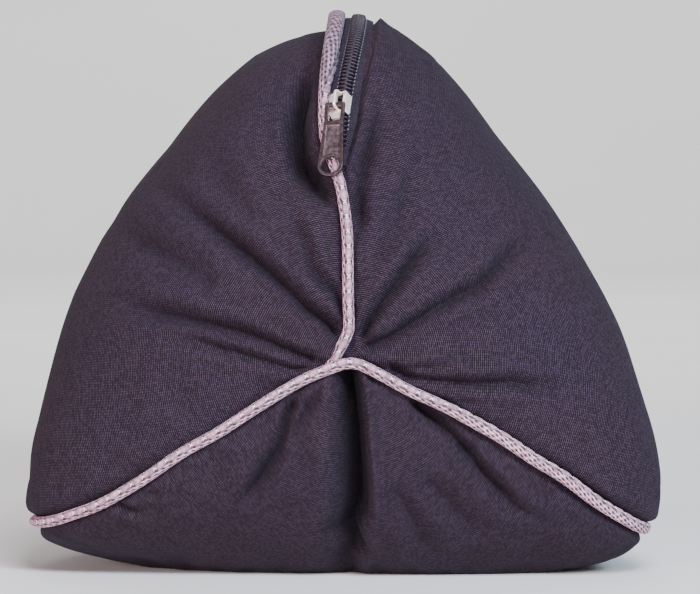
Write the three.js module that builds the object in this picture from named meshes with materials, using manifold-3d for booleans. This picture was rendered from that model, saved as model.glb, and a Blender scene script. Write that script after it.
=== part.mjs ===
// A three-panel neck pillow lying on its base panel, in millimetres, +Z up.
// The long axis runs along Y; the end with the zip pull faces -Y.
import * as THREE from 'three';
import { mergeVertices } from 'three/addons/utils/BufferGeometryUtils.js';
import Module from 'manifold-3d';

const wasm = await Module();
wasm.setup();

// Driving dimensions
const LENGTH = 390;
const HALF = LENGTH / 2;
const AXIS_X = 3.1;
const AXIS_Z = 71.2;
const WAIST_SCALE = 0.72;
const WAIST_EASE = 0.9;
const WAIST_SAG = 5;
const END_ROUNDNESS = 2.3;
const END_SHARE = 0.56;
const GAP = 0.3;

// Piping and zip
const CORD_RADIUS = 2;
const CORD_SIDES = 8;
const CORD_CLEARANCE = 0.75;
const SEAM_CHANNEL = 2.4;
const SEAM_CHANNEL_WIDTH = 4;
const CHAIN_HALF_WIDTH = 2.6;
const CHAIN_HEIGHT = 1.9;
const TAPE_THICKNESS = 1;
const TAPE_LEFT = 4.8;
const TAPE_RIGHT = 6.2;
const TROUGH_DEPTH = 3.2;
const TROUGH_LEFT = 9.8;
const TROUGH_RIGHT = 7;
const TROUGH_WALL = 2.2;
const SHOULDER_DROP = 4;
const SHOULDER_WIDTH = 9;
const CORD_BESIDE_ZIP = 7.4;
const CORD_LEAVES_SEAM = 0.53;
const CORD_BESIDE = 0.7;
const ZIP_START = 0.64;
const TROUGH_START = 0.5;
const TROUGH_FULL = 0.59;
const SLIDER_REACH = 0.73;

// Mesh density of the filled cover
const PANEL_COLUMNS = 22;
const END_ROWS = 14;
const SIDE_ROWS = 11;

// Colours
const CLOTH = 0x463b4a;
const CORD_GREY = 0xa79fae;
const TAPE_NAVY = 0x23232f;
const CHAIN_NAVY = 0x1f2030;
const BRASS = 0xb9aa93;
const NICKEL = 0x77717a;

// The three seams as they run out from the Y centre: bearing in degrees from +X towards +Z,
// at shares of the way out, with each seam's full reach and the depth of its rounded end.
const SEAMS = [
  {
    name: 'right',
    reach: 111.6,
    depth: 38,
    bearings: [
      { share: 0, bearing: -29 },
      { share: 0.25, bearing: -26.7 },
      { share: 0.4, bearing: -27.2 },
      { share: 0.6, bearing: -28.8 },
      { share: 0.85, bearing: -30.5 },
      { share: 1, bearing: -30.2 },
    ],
  },
  {
    name: 'top',
    reach: 110.2,
    depth: 76,
    bearings: [
      { share: 0, bearing: 95 },
      { share: 0.15, bearing: 93 },
      { share: 0.35, bearing: 91.5 },
      { share: 0.55, bearing: 94.2 },
      { share: 0.64, bearing: 93 },
      { share: 0.8, bearing: 91.4 },
      { share: 0.9, bearing: 89.6 },
      { share: 1, bearing: 88.4 },
    ],
  },
  {
    name: 'left',
    reach: 117.1,
    depth: 48,
    bearings: [
      { share: 0, bearing: 200 },
      { share: 0.14, bearing: 202.4 },
      { share: 0.3, bearing: 208 },
      { share: 0.5, bearing: 209 },
      { share: 0.7, bearing: 210.6 },
      { share: 0.88, bearing: 210.3 },
      { share: 1, bearing: 208.5 },
    ],
  },
];
const RIGHT = 0;
const TOP = 1;
const LEFT = 2;
const PANEL_COUNT = 3;

// The panels, each from the seam of its own number to the next: how far it swells past its chord,
// how blunt the swell is at its first and second seam, how far it leans to the first, how far its
// middle stands forward on the end, and how much more deeply its middle is rounded there.
const PANELS = [
  { name: 'right', swell: 23.8, first: 0.63, second: 0.52, lean: 0.167, forward: 5, rounder: 2 },
  { name: 'left', swell: 31.3, first: 0.6, second: 0.63, lean: 0.1, forward: 5, rounder: 2 },
  { name: 'base', swell: 21, first: 0.5, second: 0.5, lean: -0.1, forward: 3, rounder: 26 },
];

// Main folds on the ends: troughs that run out from near the Y centre. Bearings in degrees at
// the start, middle and end, reach in millimetres, width and depth of the trough.
const FOLDS = [
  { name: 'left_long', start: 120, middle: 135, end: 139, from: 8, to: 86, width: 5.5, depth: 4.4 },
  { name: 'left_low', start: 190, middle: 169, end: 169, from: 11, to: 92, width: 6.5, depth: 3.8 },
  { name: 'left_high', start: 151, middle: 151, end: 151, from: 46, to: 90, width: 7, depth: 2.2 },
  { name: 'left_upright', start: 103, middle: 112.5, end: 116, from: 16, to: 84, width: 6, depth: 2.6 },
  { name: 'beside_slider_left', start: 97, middle: 102.5, end: 100, from: 42, to: 100, width: 6, depth: 6 },
  { name: 'beside_slider_right', start: 86, middle: 84, end: 82, from: 36, to: 98, width: 5, depth: 3.4 },
  { name: 'right_steep', start: 60, middle: 55.5, end: 55, from: 7, to: 58, width: 5.5, depth: 3.8 },
  { name: 'right_long', start: 40, middle: 32.5, end: 35.5, from: 6, to: 80, width: 6, depth: 4 },
  { name: 'right_level', start: -21, middle: -9.5, end: -7.5, from: 14, to: 82, width: 5.5, depth: 3 },
  { name: 'base_centre', start: -74, middle: -87, end: -88, from: 4, to: 92, width: 6.5, depth: 11 },
  { name: 'base_left', start: 218, middle: 230.5, end: 234, from: 15, to: 64, width: 5.5, depth: 3 },
  { name: 'base_right', start: -30, middle: -42, end: -42, from: 23, to: 88, width: 6, depth: 4.4 },
];
const FAR_END_DEPTH = 0.85;
const FOLDS_FADE = 0.3;
const FOLD_RISES = 0.16;
const FOLD_FALLS = 0.7;

const TURN = Math.PI / 180;

function smooth(low, high, value) {
  return THREE.MathUtils.smoothstep(value, low, high);
}

// A seam's bearing at a share of its way out, read smoothly between the rows of its table.
function bearingAt(seam, share) {
  const rows = seam.bearings;
  const last = rows.length - 1;
  if (share >= rows[last].share) {
    return rows[last].bearing;
  }
  const index = Math.max(0, rows.findIndex((row) => row.share > share) - 1);
  const low = rows[index];
  const high = rows[index + 1];
  const blend = smooth(low.share, high.share, share);
  return THREE.MathUtils.lerp(low.bearing, high.bearing, blend);
}

// Where a seam stands in the section of a given scale, relative to the long axis.
function seamOffset(seam, scale) {
  const bearing = bearingAt(seam, scale) * TURN;
  const reach = seam.reach * scale;
  return new THREE.Vector2(reach * Math.cos(bearing), reach * Math.sin(bearing));
}

// Place around the section: 0 right seam, 1 top seam, 2 left seam, 3 right seam again, so that
// a panel lies between its first seam's number and the next.
function splitAround(around) {
  const wrapped = THREE.MathUtils.euclideanModulo(around, PANEL_COUNT);
  const panel = Math.min(PANEL_COUNT - 1, Math.floor(wrapped));
  return { panel, share: wrapped - panel };
}

// Place along the pillow: 0 at the near Y centre, 1 at the far one. An end's section grows to its
// full scale as it rounds back; between the ends it is drawn in to the waist.
function splitAlong(along) {
  const side = along < 0.5 ? -1 : 1;
  const inward = 1 - Math.abs(2 * along - 1);
  if (inward < END_SHARE) {
    const angle = (inward / END_SHARE) * Math.PI / 2;
    const power = 2 / END_ROUNDNESS;
    return { side, scale: Math.sin(angle) ** power, rounding: 1 - Math.cos(angle) ** power, inside: 0 };
  }
  const inside = (inward - END_SHARE) / (1 - END_SHARE);
  const swing = 0.5 + 0.5 * Math.cos(Math.PI * inside ** WAIST_EASE);
  return { side, scale: WAIST_SCALE + (1 - WAIST_SCALE) * swing, rounding: 1, inside };
}

// The place along the near end at which the section has grown to a share of its full size.
function alongAtScale(scale) {
  const angle = Math.asin(scale ** (END_ROUNDNESS / 2));
  return (angle / (Math.PI / 2)) * END_SHARE / 2;
}

// The smooth filled form, before channels and folds.
function formPoint(around, along) {
  const { panel, share } = splitAround(around);
  const { side, scale, rounding, inside } = splitAlong(along);
  const first = SEAMS[panel];
  const second = SEAMS[(panel + 1) % PANEL_COUNT];
  const shape = PANELS[panel];
  const seamScale = rounding < 1 ? scale : 1;
  const shrink = rounding < 1 ? 1 : scale;
  const start = seamOffset(first, seamScale);
  const end = seamOffset(second, seamScale);
  const chord = end.clone().sub(start);
  const outward = new THREE.Vector2(chord.y, -chord.x).normalize();
  const arch = Math.sin(Math.PI * share);
  const fullness = arch ** THREE.MathUtils.lerp(shape.first, shape.second, share);
  const swell = shape.swell * seamScale * fullness * (1 + shape.lean * (1 - 2 * share));
  const flat = start.clone().addScaledVector(chord, share).addScaledVector(outward, swell);
  flat.multiplyScalar(shrink);
  const seamDepth = THREE.MathUtils.lerp(first.depth, second.depth, smooth(0, 1, share));
  const depth = seamDepth + shape.rounder * arch;
  const forward = shape.forward * arch * Math.sin(Math.PI * Math.min(1, scale)) * (1 - inside);
  const onEnd = rounding < 1 ? forward : 0;
  const y = side * ((HALF - depth * rounding) * (1 - inside) + onEnd);
  const sag = WAIST_SAG * smooth(0, 1, inside);
  return new THREE.Vector3(AXIS_X + flat.x, y, AXIS_Z + flat.y - sag);
}

const STEP = 0.002;

// The outward normal of the smooth form.
function formNormal(around, along) {
  if (along < 2 * STEP || along > 1 - 2 * STEP) {
    return new THREE.Vector3(0, along < 0.5 ? -1 : 1, 0);
  }
  const acrossStep = formPoint(around + 2 * STEP, along).sub(formPoint(around - 2 * STEP, along));
  const alongStep = formPoint(around, along + STEP).sub(formPoint(around, along - STEP));
  return alongStep.cross(acrossStep).normalize();
}

// How much of the zip's trough is open at a place along the pillow.
function troughShare(along) {
  const { scale, rounding } = splitAlong(along);
  return rounding < 1 ? smooth(TROUGH_START, TROUGH_FULL, scale) : 1;
}

// Distance from a seam along the surface; negative on the side of the higher number around.
function seamDistance(seam, around, along) {
  const distance = formPoint(around, along).distanceTo(formPoint(seam, along));
  const half = PANEL_COUNT / 2;
  const turn = THREE.MathUtils.euclideanModulo(around - seam + half, PANEL_COUNT) - half;
  return turn > 0 ? -distance : distance;
}

// How deep the cloth lies under the smooth form at a seam's channel or the zip's trough.
function channelDepth(around, along) {
  const nearest = Math.round(around) % PANEL_COUNT;
  const distance = seamDistance(nearest, around, along);
  const channel = SEAM_CHANNEL * Math.exp(-((distance / SEAM_CHANNEL_WIDTH) ** 2));
  if (nearest !== TOP) {
    return channel;
  }
  const beyond = Math.abs(distance) - (distance < 0 ? TROUGH_LEFT : TROUGH_RIGHT);
  let trough = TROUGH_DEPTH * (1 - smooth(0, TROUGH_WALL, beyond));
  if (distance < 0 && beyond > 0) {
    const shoulder = SHOULDER_DROP * Math.exp(-((beyond / SHOULDER_WIDTH) ** 2));
    trough = Math.max(trough, shoulder * smooth(-TROUGH_WALL, TROUGH_WALL, beyond));
  }
  return THREE.MathUtils.lerp(channel, trough, troughShare(along));
}

// How deep the folds are at a place on one of the ends; they end where the seam holds the cloth.
function foldDepth(around, along) {
  const { side, inside } = splitAlong(along);
  const toSeam = Math.abs(seamDistance(Math.round(around) % PANEL_COUNT, around, along));
  const heldAtSeam = smooth(SEAM_CHANNEL_WIDTH / 2, 2 * SEAM_CHANNEL_WIDTH, toSeam);
  const fade = (1 - smooth(0, FOLDS_FADE, inside)) * heldAtSeam;
  if (fade <= 0) {
    return 0;
  }
  const point = formPoint(around, along);
  const x = (point.x - AXIS_X) * -side;
  const z = point.z - AXIS_Z;
  const reach = Math.hypot(x, z);
  const bearing = Math.atan2(z, x) / TURN;
  let total = 0;
  for (const fold of FOLDS) {
    const share = THREE.MathUtils.clamp((reach - fold.from) / (fold.to - fold.from), 0, 1);
    const early = THREE.MathUtils.lerp(fold.start, fold.middle, Math.min(1, 2 * share));
    const centre = share < 0.5 ? early : THREE.MathUtils.lerp(fold.middle, fold.end, 2 * share - 1);
    const turn = THREE.MathUtils.euclideanModulo(bearing - centre + 180, 360) - 180;
    const across = turn * TURN * reach;
    const present = smooth(0, FOLD_RISES, share) * (1 - smooth(FOLD_FALLS, 1, share));
    total += fold.depth * present * Math.exp(-((across / fold.width) ** 2));
  }
  return total * fade * (side < 0 ? 1 : FAR_END_DEPTH);
}

// A point on the cloth: the smooth form, sunk along its normal by channels and folds.
function clothPoint(around, along) {
  const depth = channelDepth(around, along) + foldDepth(around, along);
  return formPoint(around, along).addScaledVector(formNormal(around, along), -depth);
}

const HALVINGS = 22;

// The place around at which the surface is a given distance from a seam.
function aroundAt(seam, along, distance) {
  let near = 0;
  let far = 0.5;
  const sign = distance < 0 ? 1 : -1;
  for (let halving = 0; halving < HALVINGS; halving += 1) {
    const middle = (near + far) / 2;
    if (Math.abs(seamDistance(seam, seam + sign * middle, along)) < Math.abs(distance)) {
      near = middle;
    } else {
      far = middle;
    }
  }
  return seam + sign * near;
}

// Columns stand at fixed distances beside each seam, and evenly between.
const CORD_COLUMNS = [2.2, 4.8, 8.5];
const ZIP_COLUMNS_LEFT = [3.2, 6.6, 9.8, 12];
const ZIP_COLUMNS_RIGHT = [3.4, 7, 9.2, 13];

function panelColumns(panel, along) {
  const startColumns = panel === TOP ? ZIP_COLUMNS_LEFT : CORD_COLUMNS;
  const endColumns = panel === RIGHT ? ZIP_COLUMNS_RIGHT : CORD_COLUMNS;
  const shares = [0];
  startColumns.forEach((distance, index) => {
    const even = (index + 1) / PANEL_COLUMNS;
    shares.push(Math.min(even, aroundAt(panel, along, -distance) - panel));
  });
  const tail = endColumns.map((distance, index) => {
    const even = (index + 1) / PANEL_COLUMNS;
    return 1 - Math.min(even, panel + 1 - aroundAt(panel + 1, along, distance));
  });
  const open = PANEL_COLUMNS - startColumns.length - endColumns.length;
  const from = shares[shares.length - 1];
  const to = tail[tail.length - 1];
  for (let step = 1; step < open; step += 1) {
    shares.push(from + (to - from) * (step / open));
  }
  shares.push(...tail.reverse());
  return shares;
}

const MERGE_DISTANCE = 1e-4;

// A closed mesh whose faces share their corners.
function plainCopy(geometry) {
  geometry.deleteAttribute('normal');
  geometry.deleteAttribute('uv');
  return mergeVertices(geometry, MERGE_DISTANCE);
}

function finished(geometry, name, color, roughness, metalness) {
  geometry.computeVertexNormals();
  const mesh = new THREE.Mesh(geometry, new THREE.MeshStandardMaterial({ color, roughness, metalness }));
  mesh.name = name;
  return mesh;
}

// The filled cover: a sphere's grid laid onto the panels, with its poles at the two Y centres.
function filledCover() {
  const columns = PANEL_COUNT * PANEL_COLUMNS;
  const rows = 2 * (END_ROWS + SIDE_ROWS);
  const geometry = new THREE.SphereGeometry(1, columns, rows);
  const position = geometry.attributes.position;
  for (let row = 0; row <= rows; row += 1) {
    const inward = Math.min(row, rows - row);
    const share = inward <= END_ROWS
      ? END_SHARE * (inward / END_ROWS)
      : END_SHARE + (1 - END_SHARE) * ((inward - END_ROWS) / SIDE_ROWS);
    const along = row < rows / 2 ? 1 - share / 2 : share / 2;
    const shares = PANELS.map((shape, panel) => panelColumns(panel, along));
    for (let column = 0; column <= columns; column += 1) {
      const back = (columns - column) % columns;
      const panel = Math.floor(back / PANEL_COLUMNS);
      const around = panel + shares[panel][back % PANEL_COLUMNS];
      const point = clothPoint(around, along);
      position.setXYZ(row * (columns + 1) + column, point.x, point.y, Math.max(0, point.z));
    }
  }
  return finished(plainCopy(geometry), 'filled_cover', CLOTH, 0.95, 0);
}

// A round cord along a list of points.
function cord(name, points, steps) {
  const outline = new THREE.Shape();
  outline.absarc(0, 0, CORD_RADIUS, 0, 2 * Math.PI);
  const geometry = new THREE.ExtrudeGeometry(outline, {
    steps,
    curveSegments: CORD_SIDES / 2,
    bevelEnabled: false,
    extrudePath: new THREE.CatmullRomCurve3(points),
  });
  return finished(plainCopy(geometry), name, CORD_GREY, 0.8, 0);
}

const CORD_LIFT = CORD_RADIUS + CORD_CLEARANCE;
const CENTRE_LIFT = 0.7;
const CENTRE_REACH = 0.2;
const TOP_CORD_START = CORD_RADIUS + 0.7;

// The middle of a cord at a place on the cover; it rides a little higher over a Y centre.
function cordPoint(around, along) {
  const overCentre = CENTRE_LIFT * (1 - smooth(0, CENTRE_REACH, splitAlong(along).scale));
  const lift = CORD_LIFT + overCentre - channelDepth(around, along);
  return formPoint(around, along).addScaledVector(formNormal(around, along), lift);
}

// The base panel's piping is one length: over the far Y centre, along the left seam, over the near
// Y centre and back along the right seam, where its two ends butt.
const BUTT_JOINT = 0.022;
const BUTT_GAP = 0.004;
const BASE_STATIONS = 70;
const BASE_CORD_STEPS = 154;

function pipingBase() {
  const points = [1 - BUTT_JOINT, 1 - BUTT_JOINT / 2].map((place) => cordPoint(RIGHT, place));
  points.push(cordPoint(LEFT, 1));
  const first = BUTT_JOINT + BUTT_GAP;
  const places = [];
  for (let step = 0; step <= BASE_STATIONS; step += 1) {
    places.push(THREE.MathUtils.lerp(first, 1 - first, step / BASE_STATIONS));
  }
  points.push(...places.map((place) => cordPoint(LEFT, 1 - place)));
  points.push(cordPoint(LEFT, 0));
  points.push(...places.map((place) => cordPoint(RIGHT, place)));
  return cord('piping_base', points, BASE_CORD_STEPS);
}

const TOP_STATIONS = 80;
const TOP_CORD_STEPS = 84;

// How far the top piping stands beside the seam: in it below the zip, to the left along it.
function pipingOffset(along) {
  const { scale, rounding } = splitAlong(along);
  const beside = rounding < 1 ? smooth(CORD_LEAVES_SEAM, CORD_BESIDE, scale) : 1;
  return -CORD_BESIDE_ZIP * beside;
}

function pipingTop() {
  const points = [];
  const start = alongAtScale(TOP_CORD_START / SEAMS[TOP].reach);
  for (let step = 0; step <= TOP_STATIONS; step += 1) {
    const along = THREE.MathUtils.lerp(start, 1 - start, step / TOP_STATIONS);
    const around = aroundAt(TOP, along, pipingOffset(along));
    points.push(cordPoint(around, along));
  }
  return cord('piping_top', points, TOP_CORD_STEPS);
}

const STRIP_STEPS = 60;

// A strip along the zip, between two distances from the seam and two heights over the trough.
function zipStrip(name, color, { left, right, low, high, from, crown = 0, across = 2 }) {
  const geometry = new THREE.BoxGeometry(1, 1, 1, across, 1, STRIP_STEPS);
  const position = geometry.attributes.position;
  const start = alongAtScale(from);
  for (let index = 0; index < position.count; index += 1) {
    const along = THREE.MathUtils.lerp(start, 1 - start, 0.5 - position.getZ(index));
    const share = position.getX(index) + 0.5;
    const distance = THREE.MathUtils.lerp(left, right, share);
    const rise = crown * Math.sin(Math.PI * share);
    const height = position.getY(index) < 0 ? low : high + rise;
    const around = aroundAt(TOP, along, distance);
    const point = formPoint(around, along);
    point.addScaledVector(formNormal(around, along), height - TROUGH_DEPTH);
    position.setXYZ(index, point.x, point.y, point.z);
  }
  return finished(plainCopy(geometry), name, color, 0.7, 0);
}

// Heights over the trough's floor
const TAPE_LOW = GAP + 0.15;
const TAPE_TOP = TAPE_LOW + TAPE_THICKNESS;
const CHAIN_LOW = TAPE_TOP + GAP;
const CHAIN_TOP = CHAIN_LOW + CHAIN_HEIGHT;
const CHAIN_CROWN = 0.4;
const LEFT_TAPE_START = 0.7;

function zipPieces() {
  return [
    zipStrip('zip_tape_left', TAPE_NAVY, {
      left: -TAPE_LEFT, right: -GAP / 2, low: TAPE_LOW, high: TAPE_TOP, from: LEFT_TAPE_START,
    }),
    zipStrip('zip_tape_right', TAPE_NAVY, {
      left: GAP / 2, right: TAPE_RIGHT, low: TAPE_LOW, high: TAPE_TOP, from: ZIP_START,
    }),
    zipStrip('zip_chain', CHAIN_NAVY, {
      left: -CHAIN_HALF_WIDTH, right: CHAIN_HALF_WIDTH, low: CHAIN_LOW, high: CHAIN_TOP - CHAIN_CROWN,
      from: ZIP_START, crown: CHAIN_CROWN, across: 4,
    }),
  ];
}

// Slider and pull, in their own frame: x to the right, y up along the zip, z away from the cloth.
const SLIDER_LENGTH = 10.4;
const SLIDER_SHOULDER = 3.9;
const SLIDER_TAIL = 3.6;
const SLIDER_PLATE = 1.1;
const SLIDER_TOP_CUT = 1.7;
const SLIDER_TAIL_CUT = 1.1;
const SLIDER_WALL = 0.8;
const SLIDER_WALL_LENGTH = 7.4;
const JOIN = 0.5;
const BRIDGE_WIDTH = 2.2;
const BRIDGE_GAP = 2.4;
const BRIDGE_SPAN = 5.4;
const BRIDGE_BAR = 1.1;
const PULL_LENGTH = 24;
const PULL_THICKNESS = 1.3;
const PULL_TOP_WIDTH = 5.6;
const PULL_BOTTOM_WIDTH = 8.2;
const PULL_HOLE = 6.4;
const PULL_BAR = 1.2;
const PULL_SLOT = 6.9;
const PULL_NECK = 8.4;
const PULL_SIDE_ARM = 1.1;
const PULL_SWING = -3;
const PULL_SHIFT = -0.3;
const PULL_HEIGHT = CHAIN_TOP + GAP + SLIDER_PLATE + BRIDGE_GAP / 2 + 0.2;
const PULL_TILT = 6;

function toSolid(geometry) {
  const merged = plainCopy(geometry);
  const mesh = new wasm.Mesh({
    numProp: 3,
    vertProperties: new Float32Array(merged.attributes.position.array),
    triVerts: new Uint32Array(merged.index.array),
  });
  return new wasm.Manifold(mesh);
}

function toGeometry(solid) {
  const mesh = solid.getMesh();
  const geometry = new THREE.BufferGeometry();
  geometry.setAttribute('position', new THREE.BufferAttribute(new Float32Array(mesh.vertProperties), 3));
  geometry.setIndex(new THREE.BufferAttribute(new Uint32Array(mesh.triVerts), 1));
  return geometry;
}

const ARC_SEGMENTS = 12;

function plate(outline, low, thickness) {
  const geometry = new THREE.ExtrudeGeometry(outline, {
    depth: thickness,
    bevelEnabled: false,
    curveSegments: ARC_SEGMENTS,
  });
  return geometry.translate(0, 0, low);
}

function sliderSolid() {
  const half = SLIDER_LENGTH / 2;
  const outline = new THREE.Shape();
  outline.moveTo(-SLIDER_SHOULDER, half - SLIDER_TOP_CUT);
  outline.lineTo(-SLIDER_TAIL, -half + SLIDER_TAIL_CUT);
  outline.lineTo(-SLIDER_TAIL + SLIDER_TAIL_CUT, -half);
  outline.lineTo(SLIDER_TAIL - SLIDER_TAIL_CUT, -half);
  outline.lineTo(SLIDER_TAIL, -half + SLIDER_TAIL_CUT);
  outline.lineTo(SLIDER_SHOULDER, half - SLIDER_TOP_CUT);
  outline.lineTo(SLIDER_SHOULDER - SLIDER_TOP_CUT, half);
  outline.lineTo(-SLIDER_SHOULDER + SLIDER_TOP_CUT, half);
  outline.closePath();
  const low = CHAIN_TOP + GAP;
  let solid = toSolid(plate(outline, low, SLIDER_PLATE));
  const wallHeight = low + JOIN - TAPE_TOP - GAP;
  for (const side of [-1, 1]) {
    const wall = new THREE.BoxGeometry(SLIDER_WALL, SLIDER_WALL_LENGTH, wallHeight);
    wall.translate(side * (CHAIN_HALF_WIDTH + GAP + SLIDER_WALL / 2), 0, low + JOIN - wallHeight / 2);
    solid = solid.add(toSolid(wall));
  }
  const arch = new THREE.Shape();
  const reach = BRIDGE_SPAN / 2;
  arch.moveTo(-reach - BRIDGE_BAR, -JOIN);
  arch.lineTo(-reach - BRIDGE_BAR, BRIDGE_GAP);
  arch.lineTo(-reach, BRIDGE_GAP + BRIDGE_BAR);
  arch.lineTo(reach, BRIDGE_GAP + BRIDGE_BAR);
  arch.lineTo(reach + BRIDGE_BAR, BRIDGE_GAP);
  arch.lineTo(reach + BRIDGE_BAR, -JOIN);
  arch.lineTo(reach, -JOIN);
  arch.lineTo(reach, BRIDGE_GAP);
  arch.lineTo(-reach, BRIDGE_GAP);
  arch.lineTo(-reach, -JOIN);
  arch.closePath();
  const bridge = new THREE.ExtrudeGeometry(arch, { depth: BRIDGE_WIDTH, bevelEnabled: false });
  bridge.translate(0, 0, -BRIDGE_WIDTH / 2);
  bridge.rotateX(Math.PI / 2);
  bridge.rotateZ(Math.PI / 2);
  bridge.translate(0, 0, low + SLIDER_PLATE);
  return solid.add(toSolid(bridge));
}

// The pull lies below its bar, which passes under the bridge; y = 0 is the bar's middle.
function pullGeometry() {
  const outline = new THREE.Shape();
  const top = PULL_TOP_WIDTH / 2;
  const bottom = PULL_BOTTOM_WIDTH / 2;
  const foot = -PULL_LENGTH + bottom;
  outline.moveTo(-top, PULL_BAR / 2);
  outline.lineTo(-top, -PULL_NECK);
  outline.lineTo(-bottom, foot);
  outline.absarc(0, foot, bottom, Math.PI, 2 * Math.PI);
  outline.lineTo(top, -PULL_NECK);
  outline.lineTo(top, PULL_BAR / 2);
  outline.closePath();
  const slot = new THREE.Path();
  const inner = top - PULL_SIDE_ARM;
  slot.moveTo(-inner, -PULL_BAR / 2);
  slot.lineTo(inner, -PULL_BAR / 2);
  slot.lineTo(inner, -PULL_SLOT);
  slot.lineTo(-inner, -PULL_SLOT);
  slot.closePath();
  const hole = new THREE.Path();
  hole.absarc(0, foot, PULL_HOLE / 2, 0, 2 * Math.PI);
  outline.holes.push(slot, hole);
  return plate(outline, -PULL_THICKNESS / 2, PULL_THICKNESS);
}

function sliderGroup() {
  const along = alongAtScale(SLIDER_REACH);
  const origin = formPoint(TOP, along);
  const out = formNormal(TOP, along);
  const up = formPoint(TOP, along + STEP).sub(formPoint(TOP, along - STEP));
  up.addScaledVector(out, -up.dot(out)).normalize();
  const right = new THREE.Vector3().crossVectors(up, out);
  const onZip = new THREE.Group();
  onZip.quaternion.setFromRotationMatrix(new THREE.Matrix4().makeBasis(right, up, out));
  onZip.position.copy(origin).addScaledVector(out, -TROUGH_DEPTH);
  onZip.add(finished(toGeometry(sliderSolid()), 'zip_slider', BRASS, 0.35, 1));
  const pull = finished(plainCopy(pullGeometry()), 'zip_pull', NICKEL, 0.4, 1);
  pull.position.set(PULL_SHIFT, -BRIDGE_SPAN / 2 + PULL_BAR, PULL_HEIGHT);
  pull.rotation.set(PULL_TILT * TURN, 0, PULL_SWING * TURN);
  onZip.add(pull);
  return onZip;
}

const group = new THREE.Group();
group.add(filledCover(), pipingBase(), pipingTop(), ...zipPieces(), sliderGroup());
export default group;
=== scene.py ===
import math
from collections import namedtuple

import bmesh
import bpy
import numpy as np
from bpy.props import FloatProperty, FloatVectorProperty, PointerProperty
from mathutils import Matrix, Vector


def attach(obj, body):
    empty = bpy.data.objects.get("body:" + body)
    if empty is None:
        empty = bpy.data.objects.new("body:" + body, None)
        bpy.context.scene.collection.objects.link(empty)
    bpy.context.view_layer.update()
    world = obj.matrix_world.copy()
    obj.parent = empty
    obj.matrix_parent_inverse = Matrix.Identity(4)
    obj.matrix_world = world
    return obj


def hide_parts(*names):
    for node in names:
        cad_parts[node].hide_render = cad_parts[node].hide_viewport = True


bl_info = {
    "name": "Neck Pillow",
    "version": (1, 0, 0),
    "blender": (4, 5, 0),
    "location": "View3D > Sidebar > Neck Pillow",
    "description": "Builds a filled neck pillow with piped seams and a zip",
    "category": "Mesh",
}

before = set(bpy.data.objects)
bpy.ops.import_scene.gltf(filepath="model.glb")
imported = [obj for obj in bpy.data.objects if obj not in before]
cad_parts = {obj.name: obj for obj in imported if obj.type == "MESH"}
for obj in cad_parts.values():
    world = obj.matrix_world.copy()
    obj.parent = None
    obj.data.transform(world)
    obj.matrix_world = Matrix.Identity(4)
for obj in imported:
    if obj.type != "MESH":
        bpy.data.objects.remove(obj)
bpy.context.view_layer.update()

# Lengths in this file are in millimetres; meshes are made in metres.
MM = 0.001
DEGREE = math.pi / 180
TINY = 1e-9

# The filled form, as the solids have it
LENGTH = 390
HALF = LENGTH / 2
AXIS_X = 3.1
AXIS_Z = 71.2
WAIST_SCALE = 0.72  # the waist's section as a share of the widest one
WAIST_EASE = 0.9  # how soon the sides draw in to the waist
WAIST_SAG = 5
END_ROUNDNESS = 2.3  # 2 is a round end, and more is a blunter one
END_SHARE = 0.56  # the rounded end's share of each half

# Piping cord and its channel: as the solids have it under the cord, and as the cloth beside it shows
CORD_RADIUS = 2
CORD_CLEARANCE = 0.75
SEAM_CHANNEL = 2.4
SEAM_CHANNEL_WIDTH = 4
VISIBLE_CHANNEL = 2.2
VISIBLE_CHANNEL_WIDTH = 3.4

# Tapes and closed coil of the zip, with heights over the trough's floor
TAPE_THICKNESS = 1
TAPE_LEFT = 4.8
TAPE_RIGHT = 5.8
TAPE_LOW = 0.45
TAPE_TOP = TAPE_LOW + TAPE_THICKNESS
CHAIN_HALF_WIDTH = 2.3
CHAIN_HEIGHT = 1.9
CHAIN_CLEARANCE = 0.3
CHAIN_LOW = TAPE_TOP + CHAIN_CLEARANCE
CHAIN_TOP = CHAIN_LOW + CHAIN_HEIGHT

# Trough that the zip lies in
TROUGH_DEPTH = 3.2
TROUGH_LEFT = 9.8
TROUGH_RIGHT = 6.1
TROUGH_RIGHT_FOOT = 2.2  # its right side near the Y centre, where it is still narrow
TROUGH_OPENS = 0.5  # shares of the seam's reach between which its right side widens
TROUGH_OPEN = 0.74
TROUGH_WALL = 2.2
TROUGH_WALL_RIGHT = 0.9
SHOULDER_DROP = 4  # how far the cloth falls towards the trough on its left
SHOULDER_WIDTH = 9

# Where the zip's parts begin and the slider stands, as shares of the top seam's reach
TROUGH_START = 0.5
TROUGH_FULL = 0.59
ZIP_START = 0.56
LEFT_TAPE_START = 0.68
LEFT_COIL_START = 0.66
RIGHT_COIL_START = 0.61
SLIDER_REACH = 0.73

# The seams' numbers in order round the form. Each panel has the number of its first seam.
RIGHT = 0
TOP = 1
LEFT = 2
PANEL_COUNT = 3

# Each seam as it runs out from the Y centre: its full reach, the depth of its rounded end, and
# its bearing in degrees from +X towards +Z at shares of the way out.
Seam = namedtuple("Seam", "reach depth shares bearings")
SEAMS = (
    Seam(110.6, 38, (0, 0.25, 0.4, 0.6, 0.85, 1), (-29, -26.7, -27.2, -28.8, -30.8, -30.9)),
    Seam(110.2, 76, (0, 0.15, 0.35, 0.55, 0.64, 0.8, 0.9, 1), (95, 93, 91.5, 94.2, 93.1, 91, 89.5, 88.4)),
    Seam(116.2, 48, (0, 0.14, 0.3, 0.5, 0.7, 0.88, 1), (200, 202.4, 208, 209, 210.6, 210.1, 208)),
)

# A seam's bearing is averaged over this share of the way each side, in this many steps.
SEAM_EASE = 0.05
EASE_STEPS = 5

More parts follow.
